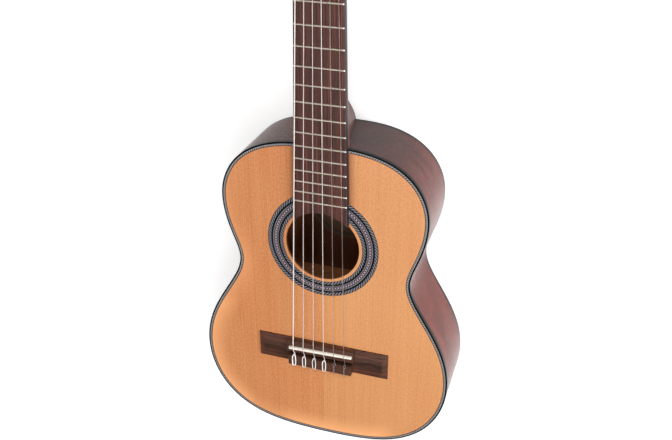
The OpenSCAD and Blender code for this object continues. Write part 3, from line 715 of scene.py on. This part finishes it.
M_WORM = metal("worm_steel", (200, 198, 196), (176, 174, 172), 0.24)
M_GEAR = metal("gear_brass", (216, 176, 98), (192, 148, 74), 0.3)
M_PEARL = pearl()
M_ROLLER = bone("roller_plastic", (240, 232, 212), (228, 216, 190))

# ---------------------------------------------------------------------- body
b = Build()
ang = [math.atan2(off(i, 4.6)[1] - HOLE_Y, off(i, 4.6)[0]) for i in range(NL)]


def line(d, z):
    return [(*off(i, d), z) for i in range(NL)]


def circle(r, z):
    return [(r * math.cos(a), HOLE_Y + r * math.sin(a), z) for a in ang]


TZ = BODY_D
inner = BIND_W + PURF
rings = [line(inner, TZ - 1.5), line(inner, TZ), line(8, TZ), line(13, TZ), line(20, TZ), line(28, TZ), circle(ROS_1, TZ), circle(ROS_1, TZ - 1), circle(ROS_0, TZ - 1), circle(ROS_0, TZ),
         circle(HOLE_R + 0.9, TZ)]
rings += [circle(HOLE_R + 0.6 - dz, TZ - dx) for dx, dz in quarter(0.6)]
rings += [circle(HOLE_R, TZ - TOP_T), line(RIB_T, TZ - TOP_T), line(RIB_T, TZ - 1.5)]
b.grid(rings, wrap_i=True, us=[inner, inner, 8.0, 13.0, 20.0, 28.0] + [60.0] * (len(rings) - 5))
b.done("soundboard_plate", M_TOP, nodes=["soundboard"], slot="top_wood")


def rim_piece(name, prof, mat, node, slot, flow=True):
    """Ring that follows the body's outline; prof is (inset, height), closed."""
    vs = [0.0]
    for k in range(len(prof)):
        p, q = prof[k], prof[(k + 1) % len(prof)]
        vs.append(vs[-1] + math.hypot(q[0] - p[0], q[1] - p[1]))
    b = Build()
    b.grid([[(*off(i, d), z) for d, z in prof] for i in range(NL)], wrap_i=True, us=ARC, vs=vs)
    return b.done(name, mat, nodes=[node], slot=slot)


prof = [(RIB_T, TZ - BIND_H), (0.0, TZ - BIND_H)] + [(dx, TZ - dz) for dx, dz in quarter(0.6)] + [(BIND_W, TZ), (BIND_W, TZ - 1.5), (RIB_T, TZ - 1.5)]
rim_piece("binding_top_strip", prof, M_BIND, "binding_top", "binding_black")
prof = [(BIND_W, TZ), (inner, TZ), (inner, TZ - 1.5), (BIND_W, TZ - 1.5)]
rim_piece("purfling_rope", prof, M_ROPE, "purfling_top", "rope_purfling")
prof = [(RIB_T, BIND_H), (0.0, BIND_H)] + [(dx, dz) for dx, dz in quarter(0.8)] + [(RIB_T, 0.0)]
rim_piece("binding_back_strip", prof, M_BIND, "binding_back", "binding_black")

b = Build()
b.grid([circle(ROS_0, TZ - 1), circle(ROS_0, TZ), circle((ROS_0 + ROS_1) / 2, TZ), circle(ROS_1, TZ), circle(ROS_1, TZ - 1)], wrap_i=True)
b.done("rosette_ring", M_ROS, nodes=["rosette"], slot="rosette_mosaic")

for s, name in ((1, "treble"), (-1, "bass")):
    ids = list(range(0, NL // 2 + 1)) if s > 0 else list(range(NL // 2, NL + 1))
    keep = [i for i in ids if not (abs(LINE[i % NL][0].x) < 12 and LINE[i % NL][0].y > 200)]
    cut = (12.0 * s, end_y(12.0))
    prof = [(0.0, BIND_H), (0.0, 20.0), (0.0, 40.0), (0.0, 60.0), (0.0, TZ - BIND_H), (RIB_T, TZ - BIND_H), (RIB_T, BIND_H)]
    vs = [z if d < 1 else z + 200 for d, z in prof] + [BIND_H]
    rings = [[(*off(i, d), z) for d, z in prof] for i in keep]
    us = [ARC[i] if i < NL else ARC[NL] for i in keep]
    end = [(cut[0], cut[1] - d, z) for d, z in prof]
    if s > 0:
        rings, us = [end] + rings, [12.0] + us
    else:
        rings, us = rings + [end], us + [ARC[NL] - 12.0]
    b = Build()
    b.grid(rings, us=us + [us[-1]], vs=vs, cap0=True, cap1=True)
    b.done("rib_" + name + "_side", M_RIB, nodes=["rib_" + name], slot="body_wood")

b = Build()
ring = [line(RIB_T, 0.0), line(RIB_T, 2.5)]
b.grid(ring, cap0=True, cap1=True)
b.done("back_board", M_BACK, nodes=["back_plate"], slot="body_wood")

# oval of plain paper on the inside of the back
b = Build()
oval = [[(6 + (45 - k) * math.cos(2 * math.pi * j / 96), 133 + (35 - k) * math.sin(2 * math.pi * j / 96), z) for j in range(96)]
        for k, z in ((0, 2.5), (0, 2.72), (0.4, 2.8))]
b.grid(oval, cap0=True, cap1=True)
b.done("label_oval", M_PAPER, nodes=["label"], slot="label_paper")

# ------------------------------------------------------------ neck and board


HEEL_Y, HEEL_L, HEEL_R = 241.0, 24.0, 38.0


def heel_g(y):
    q = (HEEL_Y + HEEL_L + HEEL_R - y) / HEEL_R
    return 1.0 if q >= 1 else 0.0 if q <= 0 else 1 - math.sqrt(1 - q * q)


def heel_len(z):
    q = min(1.0, max(0.0, (z - 2.5) / 59.5))
    return HEEL_L + HEEL_R * (1 - math.sqrt(1 - q * q))


def heel_hw(y, z):
    t, s = max(0.0, y - HEEL_Y) / heel_len(z), max(0.0, (TZ - z) / (TZ - 2.5))
    return 0.0 if t >= 1 else fb_hw(HEEL_Y) * (1 - 0.57 * s ** 0.8) * (1 - t ** 1.6)


def shaft_hw(y, z, depth):
    q = 0.985 * max(0.0, TZ - z) / depth
    return 0.0 if q >= 1 else fb_hw(min(y, SCALE)) * (1 - q ** 2.05) ** 0.5


NS = 34
SS = [1 - (1 - k / NS) ** 1.35 for k in range(NS + 1)]


def neck_ring(y, how="flat"):
    hw, nd = fb_hw(min(y, SCALE)), 15 + (SCALE - y) / 160
    r = smooth((y - 448) / 37)
    nd += r * 0.6
    dp = nd + (TZ - 2.5 - nd) * heel_g(y)
    half = []
    for s in SS:
        z = TZ - dp * s
        a, c = shaft_hw(y, z, nd), heel_hw(y, z)
        x = max(0.25, min(hw, (a ** 6 + c ** 6) ** (1 / 6)))
        x = (1 - r) * x + r * hw * (1 - 0.10 * s ** 9)
        yy = y
        if how == "body":
            yy = end_y(x)
        if how == "head":
            yy = NUT_Y + (z - TZ) * math.tan(TILT)
        half.append((x, yy, z))
    return half + [(-x, yy, z) for x, yy, z in reversed(half)]


ys = [242.5, 244, 246, 248, 250, 252, 254, 256, 258, 259.5, 261, 262.2, 263.2, 264, 264.5, 264.8, 265.0, 265.15, 265.5, 266.1, 266.9, 268, 269.4, 271, 273, 275.4, 278.2,
      281.4, 285, 289, 293.4, 298, 303, 308, 320, 345, 375, 405, 430, 448, 454, 460, 466, 472, 476, 480]
b = Build()
b.grid([neck_ring(241, "body")] + [neck_ring(y) for y in ys] + [neck_ring(485, "head")], cap0=True, cap1=True)
ten = [[(x, y, z) for x, z in ((-12, BIND_H), (12, BIND_H), (12, TZ - BIND_H), (-12, TZ - BIND_H))] for y in (219, 241.2)]
b.grid(ten, cap0=True, cap1=True)
b.done("neck_shaft", M_NECK, nodes=["neck"], slot="neck_wood", sharp=50)

b = Build()
cap_w = fb_hw(HEEL_Y) * 0.43
arch = [(cap_w * (1 - t ** 1.6), HEEL_Y + HEEL_L * t) for t in [k / 24 for k in range(1, 24)] + [0.985]]
cap = [(-cap_w * k / 6, end_y(cap_w * k / 6)) for k in range(6, -7, -1)] + arch + [(-x, y) for x, y in reversed(arch)]
rings = [[(x * k, HEEL_Y + (y - HEEL_Y) * k if y > HEEL_Y else y, z) for x, y in cap] for k, z in ((1.0, 2.5), (1.0, 0.9), (0.985, 0.6), (0.955, 0.42), (0.93, 0.4))]
b.grid(rings, cap0=True, cap1=True)
b.done("heel_cap_plate", M_DARK, nodes=["heel_cap"], slot="dark_wood")


def board_end(s):
    x = 0.0
    for _ in range(12):
        y = HOLE_Y + math.sqrt(41.0 ** 2 - x * x)
        x = s * fb_hw(y)
    return HOLE_Y + math.sqrt(41.0 ** 2 - x * x)


edge = quarter(0.9)
stations = [(-1, dx, dz) for dx, dz in edge] + [(0, f, 0.0) for f in [k / 10 for k in range(-9, 10)]] + [(1, dx, dz) for dx, dz in reversed(edge)]
top, bot, rows = [], [], 40
for i in range(rows + 1):
    t = i / rows
    tr, br = [], []
    for sgn, dx, dz in stations:
        s = sgn * (1 - dx / 28.0) if sgn else dx * (1 - 1.0 / 28.0)
        y0 = board_end(s)
        y = y0 + (SCALE - y0) * t
        x = s * fb_hw(y)
        tr.append((x, y, FB_Z - dz))
        br.append((x, y, TZ))
    top.append(tr)
    bot.append(br)
b = Build()
loops = [tr + list(reversed(br)) for tr, br in zip(top, bot)]
b.grid(loops)
for k in (0, rows):
    b.grid([top[k], bot[k]], wrap_j=False)
b.done("fingerboard_plank", M_FB, nodes=["fingerboard"], slot="fingerboard_wood", merge=True)

b = Build()
for n in range(1, 18):
    y, hl = fret_y(n), fb_hw(fret_y(n)) - 0.15
    xs = [(-hl, 0.10), (-hl + 0.06, 0.22), (-hl + 0.85, 0.93), (-hl + 1.1, 1.0)]
    xs = xs + [(-x, f) for x, f in reversed(xs)]
    rings = []
    for x, f in xs:
        w, h = 0.78 * (0.75 + 0.25 * f), 1.0 * f
        rings.append([(x, y + w * math.cos(a), FB_Z + h * math.sin(a) ** 0.9) for a in (math.pi * j / 10 for j in range(11))]
                     + [(x, y - w * 0.98, FB_Z - 0.12), (x, y + w * 0.98, FB_Z - 0.12)])
    b.grid(rings, cap0=True, cap1=True)
b.done("fret_wires", M_FRET, nodes=["frets"], slot="fret_metal")


def sx_saddle(n):
    return STR_X + 11.8 * (3.5 - n)


def sx_nut(n):
    return 7.28 * (3.5 - n)


b = Build()
face = [(-22.6, 0.9)]
for n in range(6, 0, -1):
    x, r = sx_nut(n), STR_D[n - 1] / 2 + 0.08
    face += [(x - r - 0.1, 0.0), (x - r, 0.8), (x + r, 0.8), (x + r + 0.1, 0.0)]
face += [(22.6, 0.9)]
face = [(-22.6, 1.6), (-21.9, 0.1)] + face[1:-1] + [(21.9, 0.1), (22.6, 1.6)]
rings = []
for y, drop in ((480.02, 0.5), (480.3, 0.15), (480.9, 0.0), (482.5, 0.05), (483.8, 0.3), (484.6, 0.7), (485.0, 1.3)):
    rings.append([(x, y, 86.2 - d - (drop if d < 0.5 else min(drop, 0.55))) for x, d in face] + [(22.6, y, TZ), (-22.6, y, TZ)])
b.grid(rings, cap0=True, cap1=True)
b.done("nut_block", M_BONE, nodes=["nut"], slot="bone")

# -------------------------------------------------------------------- bridge
b = Build()
wing = [(3.7, 0.0), (3.7, 1.7), (3.55, 2.1), (3.1, 2.35), (-8.2, 4.05), (-9.0, 4.15), (-16.2, 4.15), (-17.0, 4.05), (-27.0, 2.4), (-27.45, 2.1),
        (-27.6, 1.7), (-27.6, 0.0)]
rings = []
for x, lid, k in ((75, 1.6, 0.0), (74.85, 2.0, 0.0), (74.5, 2.3, 0.0), (69.0, 4.0, 0.0), (68.0, 4.2, 0.0), (60, 9, 0), (48, 9, 0), (0, 9, 0)):
    rings.append([(x, y, TZ + min(h, lid)) for y, h in wing])
rings = rings + [[(-x, y, z) for x, y, z in r] for r in reversed(rings[:-1])]
b.grid(rings, cap0=True, cap1=True)
rest = [(3.55, 1.0), (3.55, 7.1), (3.3, 7.7), (2.1, 8.75), (1.6, 8.95), (1.1, 9.0), (-8.8, 9.0), (-9.3, 8.9), (-10.4, 8.35), (-10.6, 8.1), (-10.6, 1.0)]
rings = []
for x, lid in ((38.8, 8.0), (38.7, 8.4), (38.3, 8.8), (37.7, 9.0), (0, 10)):
    rings.append([(x, y, TZ + min(h, lid)) for y, h in rest])
rings = rings + [[(-x, y, z) for x, y, z in r] for r in reversed(rings[:-1])]
rings = [[(x + STR_X, y, z) for x, y, z in r] for r in rings]
b.grid(rings, cap0=True, cap1=True)
tie = [(-14.8, 1.0), (-14.8, 9.5), (-14.95, 9.85), (-15.3, 10.0), (-26.5, 10.0), (-27.2, 9.75), (-27.5, 9.2), (-27.55, 8.6), (-27.55, 1.0)]
rings = []
for x, lid in ((36.6, 9.2), (36.5, 9.55), (36.1, 9.85), (35.6, 10.0), (0, 11)):
    rings.append([(x, y, TZ + min(h, lid)) for y, h in tie])
rings = rings + [[(-x, y, z) for x, y, z in r] for r in reversed(rings[:-1])]
rings = [[(x + STR_X, y, z) for x, y, z in r] for r in rings]
b.grid(rings, cap0=True, cap1=True)
b.done("bridge_block", M_BR, nodes=["bridge"], slot="bridge_wood", sharp=32)

b = Build()
ca, sa = math.cos(math.radians(1.7)), math.sin(math.radians(1.7))
sec = [(-1.3, 81.5), (-1.3, 89.4), (-1.15, 89.8), (-0.7, 90.0), (-0.1, 89.95), (0.5, 89.6), (1.0, 89.0), (1.25, 88.3), (1.3, 87.6), (1.3, 81.5)]
rings = []
for x, lid, k in ((-36.5, 88.6, 0.8), (-36.4, 89.2, 0.93), (-36.0, 89.7, 1.0), (-35.3, 90, 1.0), (0, 90, 1.0), (35.3, 90, 1.0), (36.0, 89.7, 1.0),
                  (36.4, 89.2, 0.93), (36.5, 88.6, 0.8)):
    rings.append([(x * ca - y * k * sa - 0.3, -2.8 + x * sa + y * k * ca, min(z, lid)) for y, z in sec])
b.grid(rings, cap0=True, cap1=True)
b.done("saddle_bone", M_BONE, nodes=["saddle"], slot="bone")

# ------------------------------------------------------------------- strings
for group, members, mat, slot in (("strings_wound", (4, 5, 6), M_WOUND, "wound_string"), ("strings_nylon", (1, 2), M_NYLON, "nylon_string"),
                                  ("string_third", (3,), M_WHITE, "nylon_string")):
    b = Build()
    for n in members:
        r, k, s = STR_D[n - 1] * (0.55 if n == 6 else 0.38 if n == 3 else 0.5), place(n), side(n)
        xn, xs = sx_nut(n), sx_saddle(n)
        ys_ = -2.8 + xs * math.tan(math.radians(1.7))
        zn, zs = 85.45 + r, 90.05 + r
        p0 = Vector(hf(s * ROL_X[k], rol_u(k) + 1, ROL_W + ROL_R + 0.3 + r))
        p1 = Vector((xn, 485.0, zn - 0.15))
        pts = [p0.lerp(p1, q) for q in (0, 0.33, 0.66, 0.97)]
        pts += [Vector((xn, 484.2, zn)), Vector((xn, 482.0, zn + 0.02)), Vector((xn, 480.0, zn))]
        far = Vector((xs, ys_ + 0.6, zs))
        near = Vector((xn, 480.0, zn))
        pts += [near.lerp(far, q) for q in (0.02, 0.2, 0.4, 0.6, 0.8, 0.98)]
        pts += [far, Vector((xs, ys_ - 0.1, zs)), Vector((xs, ys_ - 0.8, zs - 0.22))]
        mouth = Vector((xs, -14.5, 85.5))
        pts += [pts[-1].lerp(mouth, q) for q in (0.5, 0.97)] + [Vector((xs, -15.4, 85.1)), Vector((xs, -19.0, 85.0)), Vector((xs, -27.4, 85.0))]
        tube(b, pts, r)
        # tie: out at the back, over the block, round the standing string and back
        zt = 88.1 + r
        knot = [(xs, -27.2, 85.0), (xs - 0.1, -28.1 - r * 0.3, 85.2), (xs - 0.5, -28.4, 86.2), (xs - 1.0, -28.0, 87.6)]
        if n > 2:
            h = 1.75
            knot += [(xs - 1.35, -26.8, zt + 0.05), (xs - h, -23.6, zt + 0.02), (xs - h - 0.12, -19.2, zt + 0.02), (xs - h + 0.1, -15.9, zt),
                     (xs - 1.15, -14.1, zt - 0.7), (xs, -13.7 + r * 0.4, zt - 1.0), (xs + 1.15, -14.1, zt - 0.7), (xs + h - 0.1, -15.9, zt),
                     (xs + h + 0.12, -19.2, zt + 0.02), (xs + h, -23.6, zt + 0.02), (xs + 1.25, -26.8, zt + 0.05), (xs + 0.7, -28.2, 87.3),
                     (xs + 0.2, -28.6, 86.6), (xs - 0.9, -28.65, 86.0)]
        else:
            knot += [(xs - 0.5, -26.8, zt + 0.05), (xs - 0.3, -23.0, zt), (xs - 0.5, -18.0, zt), (xs - 1.15, -15.9, zt), (xs - 0.95, -14.2, zt - 0.6),
                     (xs, -13.8 + r * 0.4, zt - 0.9), (xs + 0.95, -14.2, zt - 0.6), (xs + 1.1, -15.9, zt), (xs + 0.4, -17.4, zt + 2 * r)]
            for q in range(1, 13):
                a = math.pi * q / 2
                knot.append((xs - 0.35 + 2 * r * math.sin(a), -17.4 - 0.72 * q, zt + r + 1.4 * r * math.cos(a)))
            knot.append((xs + 0.6, -27.2, zt + 0.1))
        tube(b, curve(knot, 6), r * (1.0 if n < 3 else 1.5 if n == 3 else 1.2), m=10, ends=0.9)
    b.done(group + "_set", mat, nodes=[group] if group in NODES else (), slot=slot, sharp=60)

for n in range(1, 7):
    r, k, s = STR_D[n - 1] / 2, place(n), side(n)
    turns = 3.25
    step = (STR_D[n - 1] + 0.06) * (-1 if ROL_X[k] > 12 else 1)
    pts = []
    for q in range(int(turns * 28) + 1):
        a = 2 * math.pi * q / 28
        rad = ROL_R + 0.04 + r
        x = ROL_X[k] + step * q / 28
        pts.append(hf(s * x, rol_u(k) + rad * math.sin(a), ROL_W + rad * math.cos(a)))
    b = Build()
    tube(b, pts, r, m=8)
    b.done("winding_%d" % n, M_NYLON if n <= 2 else M_WHITE if n == 3 else M_WOUND, body="roller_%d" % n, slot="nylon_string" if n <= 3 else "wound_string", sharp=60)

# ---------------------------------------------------------------------- head
HEAD = [(22.6, 0), (22.65, 2.5), (23, 5), (24.4, 10), (27, 15), (29.1, 18.2), (30, 20), (30, 21.8), (30, 130.6), (30, 132.2), (29.3, 135.6),
        (28, 138.5), (25.4, 141.6), (22, 144.3), (14, 147.9), (6, 149.5), (0, 149.6)]
half = [HEAD[0]]
for p, q, r in zip(HEAD, HEAD[1:], HEAD[2:]):
    p, q, r = Vector(p), Vector(q), Vector(r)
    a, c = min(0.3, 2.0 / (q - p).length), min(0.3, 2.0 / (r - q).length)
    half += [tuple(q.lerp(p, a)), tuple(q * 0.5 + q.lerp(p, a) * 0.25 + q.lerp(r, c) * 0.25), tuple(q.lerp(r, c))]
outer = half + [(0, 149.6)] + [(-x, u) for x, u in reversed(half)]
outer = [outer[0]] + [p for p, q in zip(outer[1:], outer) if (Vector(p) - Vector(q)).length > 0.02]


def slot_loop(s, grow=0.0):
    r = 6.5 + grow
    pts = [(s * 14 + r * math.cos(a), 117.5 + r * math.sin(a)) for a in (math.pi * j / 16 for j in range(17))]
    pts += [(s * 14 + r * math.cos(a), 28.5 + r * math.sin(a)) for a in (math.pi + math.pi * j / 16 for j in range(17))]
    return pts


def head_piece(name, w0, w1, r0, r1, mat, node, slot):
    """Slotted board of the head between two heights, edges rounded by r0 below and r1 above."""
    levels = [(dx, w0 + dz) for dx, dz in reversed(quarter(r0, 3))] if r0 else [(0.0, w0)]
    levels = [(dz, w0 + dx) for dx, dz in quarter(r0, 3)] if r0 else [(0.0, w0)]
    upper = [(dx, w1 - dz) for dx, dz in quarter(r1, 3)] if r1 else [(0.0, w1)]
    levels = levels + upper
    b = Build()
    b.grid([[hf(x, u, w) for x, u in inset(outer, d)] for d, w in levels])
    for s in (1, -1):
        b.grid([[hf(x, u, w) for x, u in slot_loop(s, d)] for d, w in levels])
    for d, w in (levels[0], levels[-1]):
        b.fill([[hf(x, u, w) for x, u in loop] for loop in (inset(outer, d), slot_loop(1, d), slot_loop(-1, d))])
    b.done(name, mat, nodes=[node], slot=slot, merge=True)


head_piece("head_board", -16.0, -2.0, 1.4, 0.0, M_NECK, "headstock", "neck_wood")
head_piece("head_face", -2.0, 0.0, 0.0, 0.7, M_DARK, "head_veneer", "dark_wood")

# -------------------------------------------------------------- the machines
for n in range(1, 7):
    s, k = side(n), place(n)
    u0, u1 = rol_u(k), rol_u(k) + WORM_DU
    # button: flattened drop, widest below its middle
    b = Build()
    prof = [(-17.0, 2.85), (-17.25, 3.0), (-18.4, 3.05), (-19.4, 3.5), (-21.0, 4.45), (-22.5, 5.3), (-24.5, 6.15), (-26.5, 6.75), (-28.5, 7.02), (-30.5, 7.1),
            (-32.4, 6.85), (-34.2, 6.25), (-35.5, 5.4), (-36.6, 4.1), (-37.2, 2.6), (-37.38, 1.2)]
    rings = []
    for w, a in prof:
        t = min(a, 4.35 - 0.05 * max(0.0, a - 6)) if w > -34 else min(a * 0.82, 4.3)
        t = min(t, a)
        ring = []
        for j in range(36):
            c, d = math.cos(2 * math.pi * j / 36), math.sin(2 * math.pi * j / 36)
            e = 0.82
            ring.append(hf(s * WORM_X + a * math.copysign(abs(c) ** e, c), u1 + t * math.copysign(abs(d) ** e, d), w))
        rings.append(ring)
    b.grid(rings, cap0=True, cap1=True)
    b.done("button_%d" % n, M_PEARL, body="key_%d" % n, nodes=["tuner_button_%d" % n], slot="button_pearl", sharp=60)

    # worm shaft with its thread and collars
    b = Build()

    def up(w, a, c, s=s, u1=u1):
        return hf(s * WORM_X + a, u1 + c, w)

    lathe(b, [(-29.0, 1.2), (-28.8, 1.3), (-17.0, 1.3)], up, 20)
    lathe(b, [(-17.0, 1.9), (-16.8, 2.2), (-16.25, 2.2), (-16.05, 1.95)], up, 28)
    lathe(b, [(-16.1, 1.3), (-13.6, 1.3)], up, 20)
    lathe(b, [(-13.6, 2.1), (-13.4, 2.4), (-12.0, 2.4), (-11.8, 2.2)], up, 28)
    lathe(b, [(-4.6, 2.2), (-4.4, 2.4), (-3.0, 2.4), (-2.8, 2.1)], up, 28)
    lathe(b, [(-2.8, 1.3), (-0.8, 1.3), (-0.6, 1.1)], up, 20)
    rings = []
    for i in range(73):
        a = math.radians(15 * i - 90)
        rings.append([hf(s * (WORM_X + 0.7 * math.cos(a) + 2.2 * math.cos(2 * math.pi * j / 20)), u1 + 0.7 * math.sin(a) + 2.2 * math.sin(2 * math.pi * j / 20),
                         ROL_W + (i / 24 - 1.5) * PITCH) for j in range(20)])
    b.grid(rings, cap0=True, cap1=True)
    b.done("worm_%d" % n, M_WORM, body="key_%d" % n, nodes=["worm_shaft_%d" % n], slot="worm_steel")

    # gear wheel with softened rims and its hub
    b = Build()
    count = TEETH * 10

    def tooth(shrink, x):
        out = []
        for j in range(count):
            a = 2 * math.pi * j / count
            rr = GEAR_R - 0.3 + 0.7 * math.cos(TEETH * a) - shrink
            out.append(hf(s * x, u0 + rr * math.cos(a), ROL_W + rr * math.sin(a)))
        return out

    def disc(r, x):
        return [hf(s * x, u0 + r * math.cos(2 * math.pi * j / count), ROL_W + r * math.sin(2 * math.pi * j / count)) for j in range(count)]

    b.grid([disc(3.4, 31.3), disc(3.4, WORM_X - 1), tooth(0.2, WORM_X - 1), tooth(0.0, WORM_X - 0.8), tooth(0.0, WORM_X + 0.8), tooth(0.2, WORM_X + 1),
            disc(3.5, WORM_X + 1), disc(3.3, WORM_X + 0.85), disc(2.0, WORM_X + 0.85), disc(2.0, 31.3)], wrap_i=True)
    b.done("gear_wheel_%d" % n, M_GEAR, body="roller_%d" % n, nodes=["gear_%d" % n], slot="gear_brass")

    # roller: barrel with soft ends, journal and spindle
    b = Build()

    def across(x, a, c, s=s, u0=u0):
        return hf(s * x, u0 + a, ROL_W + c)

    lathe(b, [(2.7, 2.5), (3.0, 3.0), (7.9, 3.0)], across, 28)
    lathe(b, [(7.8, 4.4), (7.95, 4.8), (8.4, 5.0), (29.5, 5.0), (29.9, 4.7)], across, 40)
    lathe(b, [(29.5, 2.5), (31.25, 2.5)], across, 24)
    lathe(b, [(31.0, 2.0), (35.4, 2.0), (35.6, 1.8)], across, 24)
    b.done("roller_barrel_%d" % n, M_ROLLER, body="roller_%d" % n, nodes=["roller_%d" % n], slot="roller_plastic")

# ------------------------------------------------ CAD pieces that stay visible
STAY = {"lining_top": M_LINING, "lining_back": M_LINING, "neck_block": M_BLOCK, "tail_block": M_BLOCK, "fan_braces": M_SPRUCE_Y,
        "harmonic_bars": M_SPRUCE_X, "back_braces": M_BRACE, "tuner_plate_bass": M_PLATE, "tuner_plate_treble": M_PLATE, "plate_screws": M_SCREW}
STAY.update({"gear_screw_%d" % n: M_SCREW for n in range(1, 7)})
BEVEL = {"tuner_plate_bass": 0.3, "tuner_plate_treble": 0.3, "plate_screws": 0.2, "back_braces": 1.5, "harmonic_bars": 1.2, "fan_braces": 0.8}
BEVEL.update({"gear_screw_%d" % n: 0.2 for n in range(1, 7)})
for name, mat in STAY.items():
    ob = NODES[name]
    if not ob.material_slots:
        ob.data.materials.append(None)
    for ms in ob.material_slots:
        ms.link = "OBJECT"
        ms.material = mat
    if name in BEVEL:
        mod = ob.modifiers.new("edges", "BEVEL")
        mod.width = BEVEL[name] * MM
        mod.segments = 3
        mod.limit_method = "ANGLE"
        mod.angle_limit = math.radians(40)
        mod.harden_normals = False

# ------------------------------------------------------- floor, light, camera
t = Tree("floor_paint", 0.9, Specular_IOR_Level=0.0)
fx, fy, fz = t.mm()
ray = t.node("LightPath").outputs
seen, shine = ray["Is Camera Ray"], ray["Is Glossy Ray"]
c = t.mix(t.noise(t.vec(fx, fy, 0.0), scale=0.004, detail=2), (0.80, 0.80, 0.80), (0.83, 0.83, 0.825))
t.set("Base_Color", t.mix(t.m("MAXIMUM", seen, shine), (0.42, 0.42, 0.42), c))
t.set("Emission_Color", (1.0, 1.0, 1.0))
far = t.m("SQRT", t.add(t.mul(fx, fx), t.m("POWER", t.mul(t.m("SUBTRACT", fy, 60.0), 0.62), 2.0)))
t.set("Emission_Strength", t.m("MULTIPLY_ADD", seen, t.span(far, 150.0, 500.0, 0.46, 1.0), t.mul(shine, 0.2)))
me = bpy.data.meshes.new("floor")
me.from_pydata([(-9, -9, -0.0002), (9, -9, -0.0002), (9, 9, -0.0002), (-9, 9, -0.0002)], [], [(0, 1, 2, 3)])
me.materials.append(t.mat)
floor = bpy.data.objects.new("floor", me)
scene.collection.objects.link(floor)

world = bpy.data.worlds.new("studio")
scene.world = world
world.use_nodes = True
wt = world.node_tree
bg = wt.nodes["Background"]
bg.inputs[0].default_value = (1.0, 1.0, 1.0, 1)
sky = wt.nodes.new("ShaderNodeTexCoord")
part = wt.nodes.new("ShaderNodeSeparateXYZ")
wt.links.new(sky.outputs["Generated"], part.inputs[0])
fade = wt.nodes.new("ShaderNodeMapRange")
fade.interpolation_type = "SMOOTHSTEP"
for i, v in enumerate((-0.6, 0.4, 0.10, 0.20)):
    fade.inputs[i + 1].default_value = v
wt.links.new(part.outputs[1], fade.inputs[0])
path = wt.nodes.new("ShaderNodeLightPath")
pick = wt.nodes.new("ShaderNodeMix")
pick.inputs[3].default_value = 1.0
wt.links.new(path.outputs["Is Camera Ray"], pick.inputs[0])
wt.links.new(fade.outputs[0], pick.inputs[2])
wt.links.new(pick.outputs[0], bg.inputs[1])


def softbox(name, at, look, size, watts, colour=(1, 1, 1)):
    d = bpy.data.lights.new(name, "AREA")
    d.shape, d.size, d.energy, d.color = "SQUARE", size, watts, colour
    o = bpy.data.objects.new(name, d)
    scene.collection.objects.link(o)
    o.location = at
    o.rotation_mode = "QUATERNION"
    o.rotation_quaternion = (Vector(look) - Vector(at)).to_track_quat("-Z", "Y")
    return o


softbox("key_right", (1.75, -0.1, 1.25), (0.0, 0.08, 0.05), 1.0, 27)
softbox("over", (0.35, 0.1, 2.3), (0.05, 0.1, 0.0), 2.0, 25)
softbox("front", (0.35, 1.9, 1.7), (0.0, 0.1, 0.05), 0.8, 20)

scene.view_settings.view_transform = "Standard"
scene.view_settings.look = "None"
scene.view_settings.exposure = 0.0
scene.view_settings.gamma = 1.0

cam = bpy.data.cameras.new("photo_view")
cam.lens, cam.sensor_width, cam.sensor_fit = 44.32, 36.0, "HORIZONTAL"
cam.clip_start, cam.clip_end = 0.01, 100.0
co = bpy.data.objects.new("photo_view", cam)
scene.collection.objects.link(co)
right, down, ahead = Vector((0.950643, 0.000940, -0.310287)), Vector((0.148563, -0.879304, 0.452497)), Vector((-0.272411, -0.476260, -0.836043))
m = Matrix((right, -down, -ahead)).transposed().to_4x4()
m.translation = Vector((0.2435, 0.5604, 0.7794))
co.matrix_world = m
scene.camera = co

bpy.context.view_layer.update()
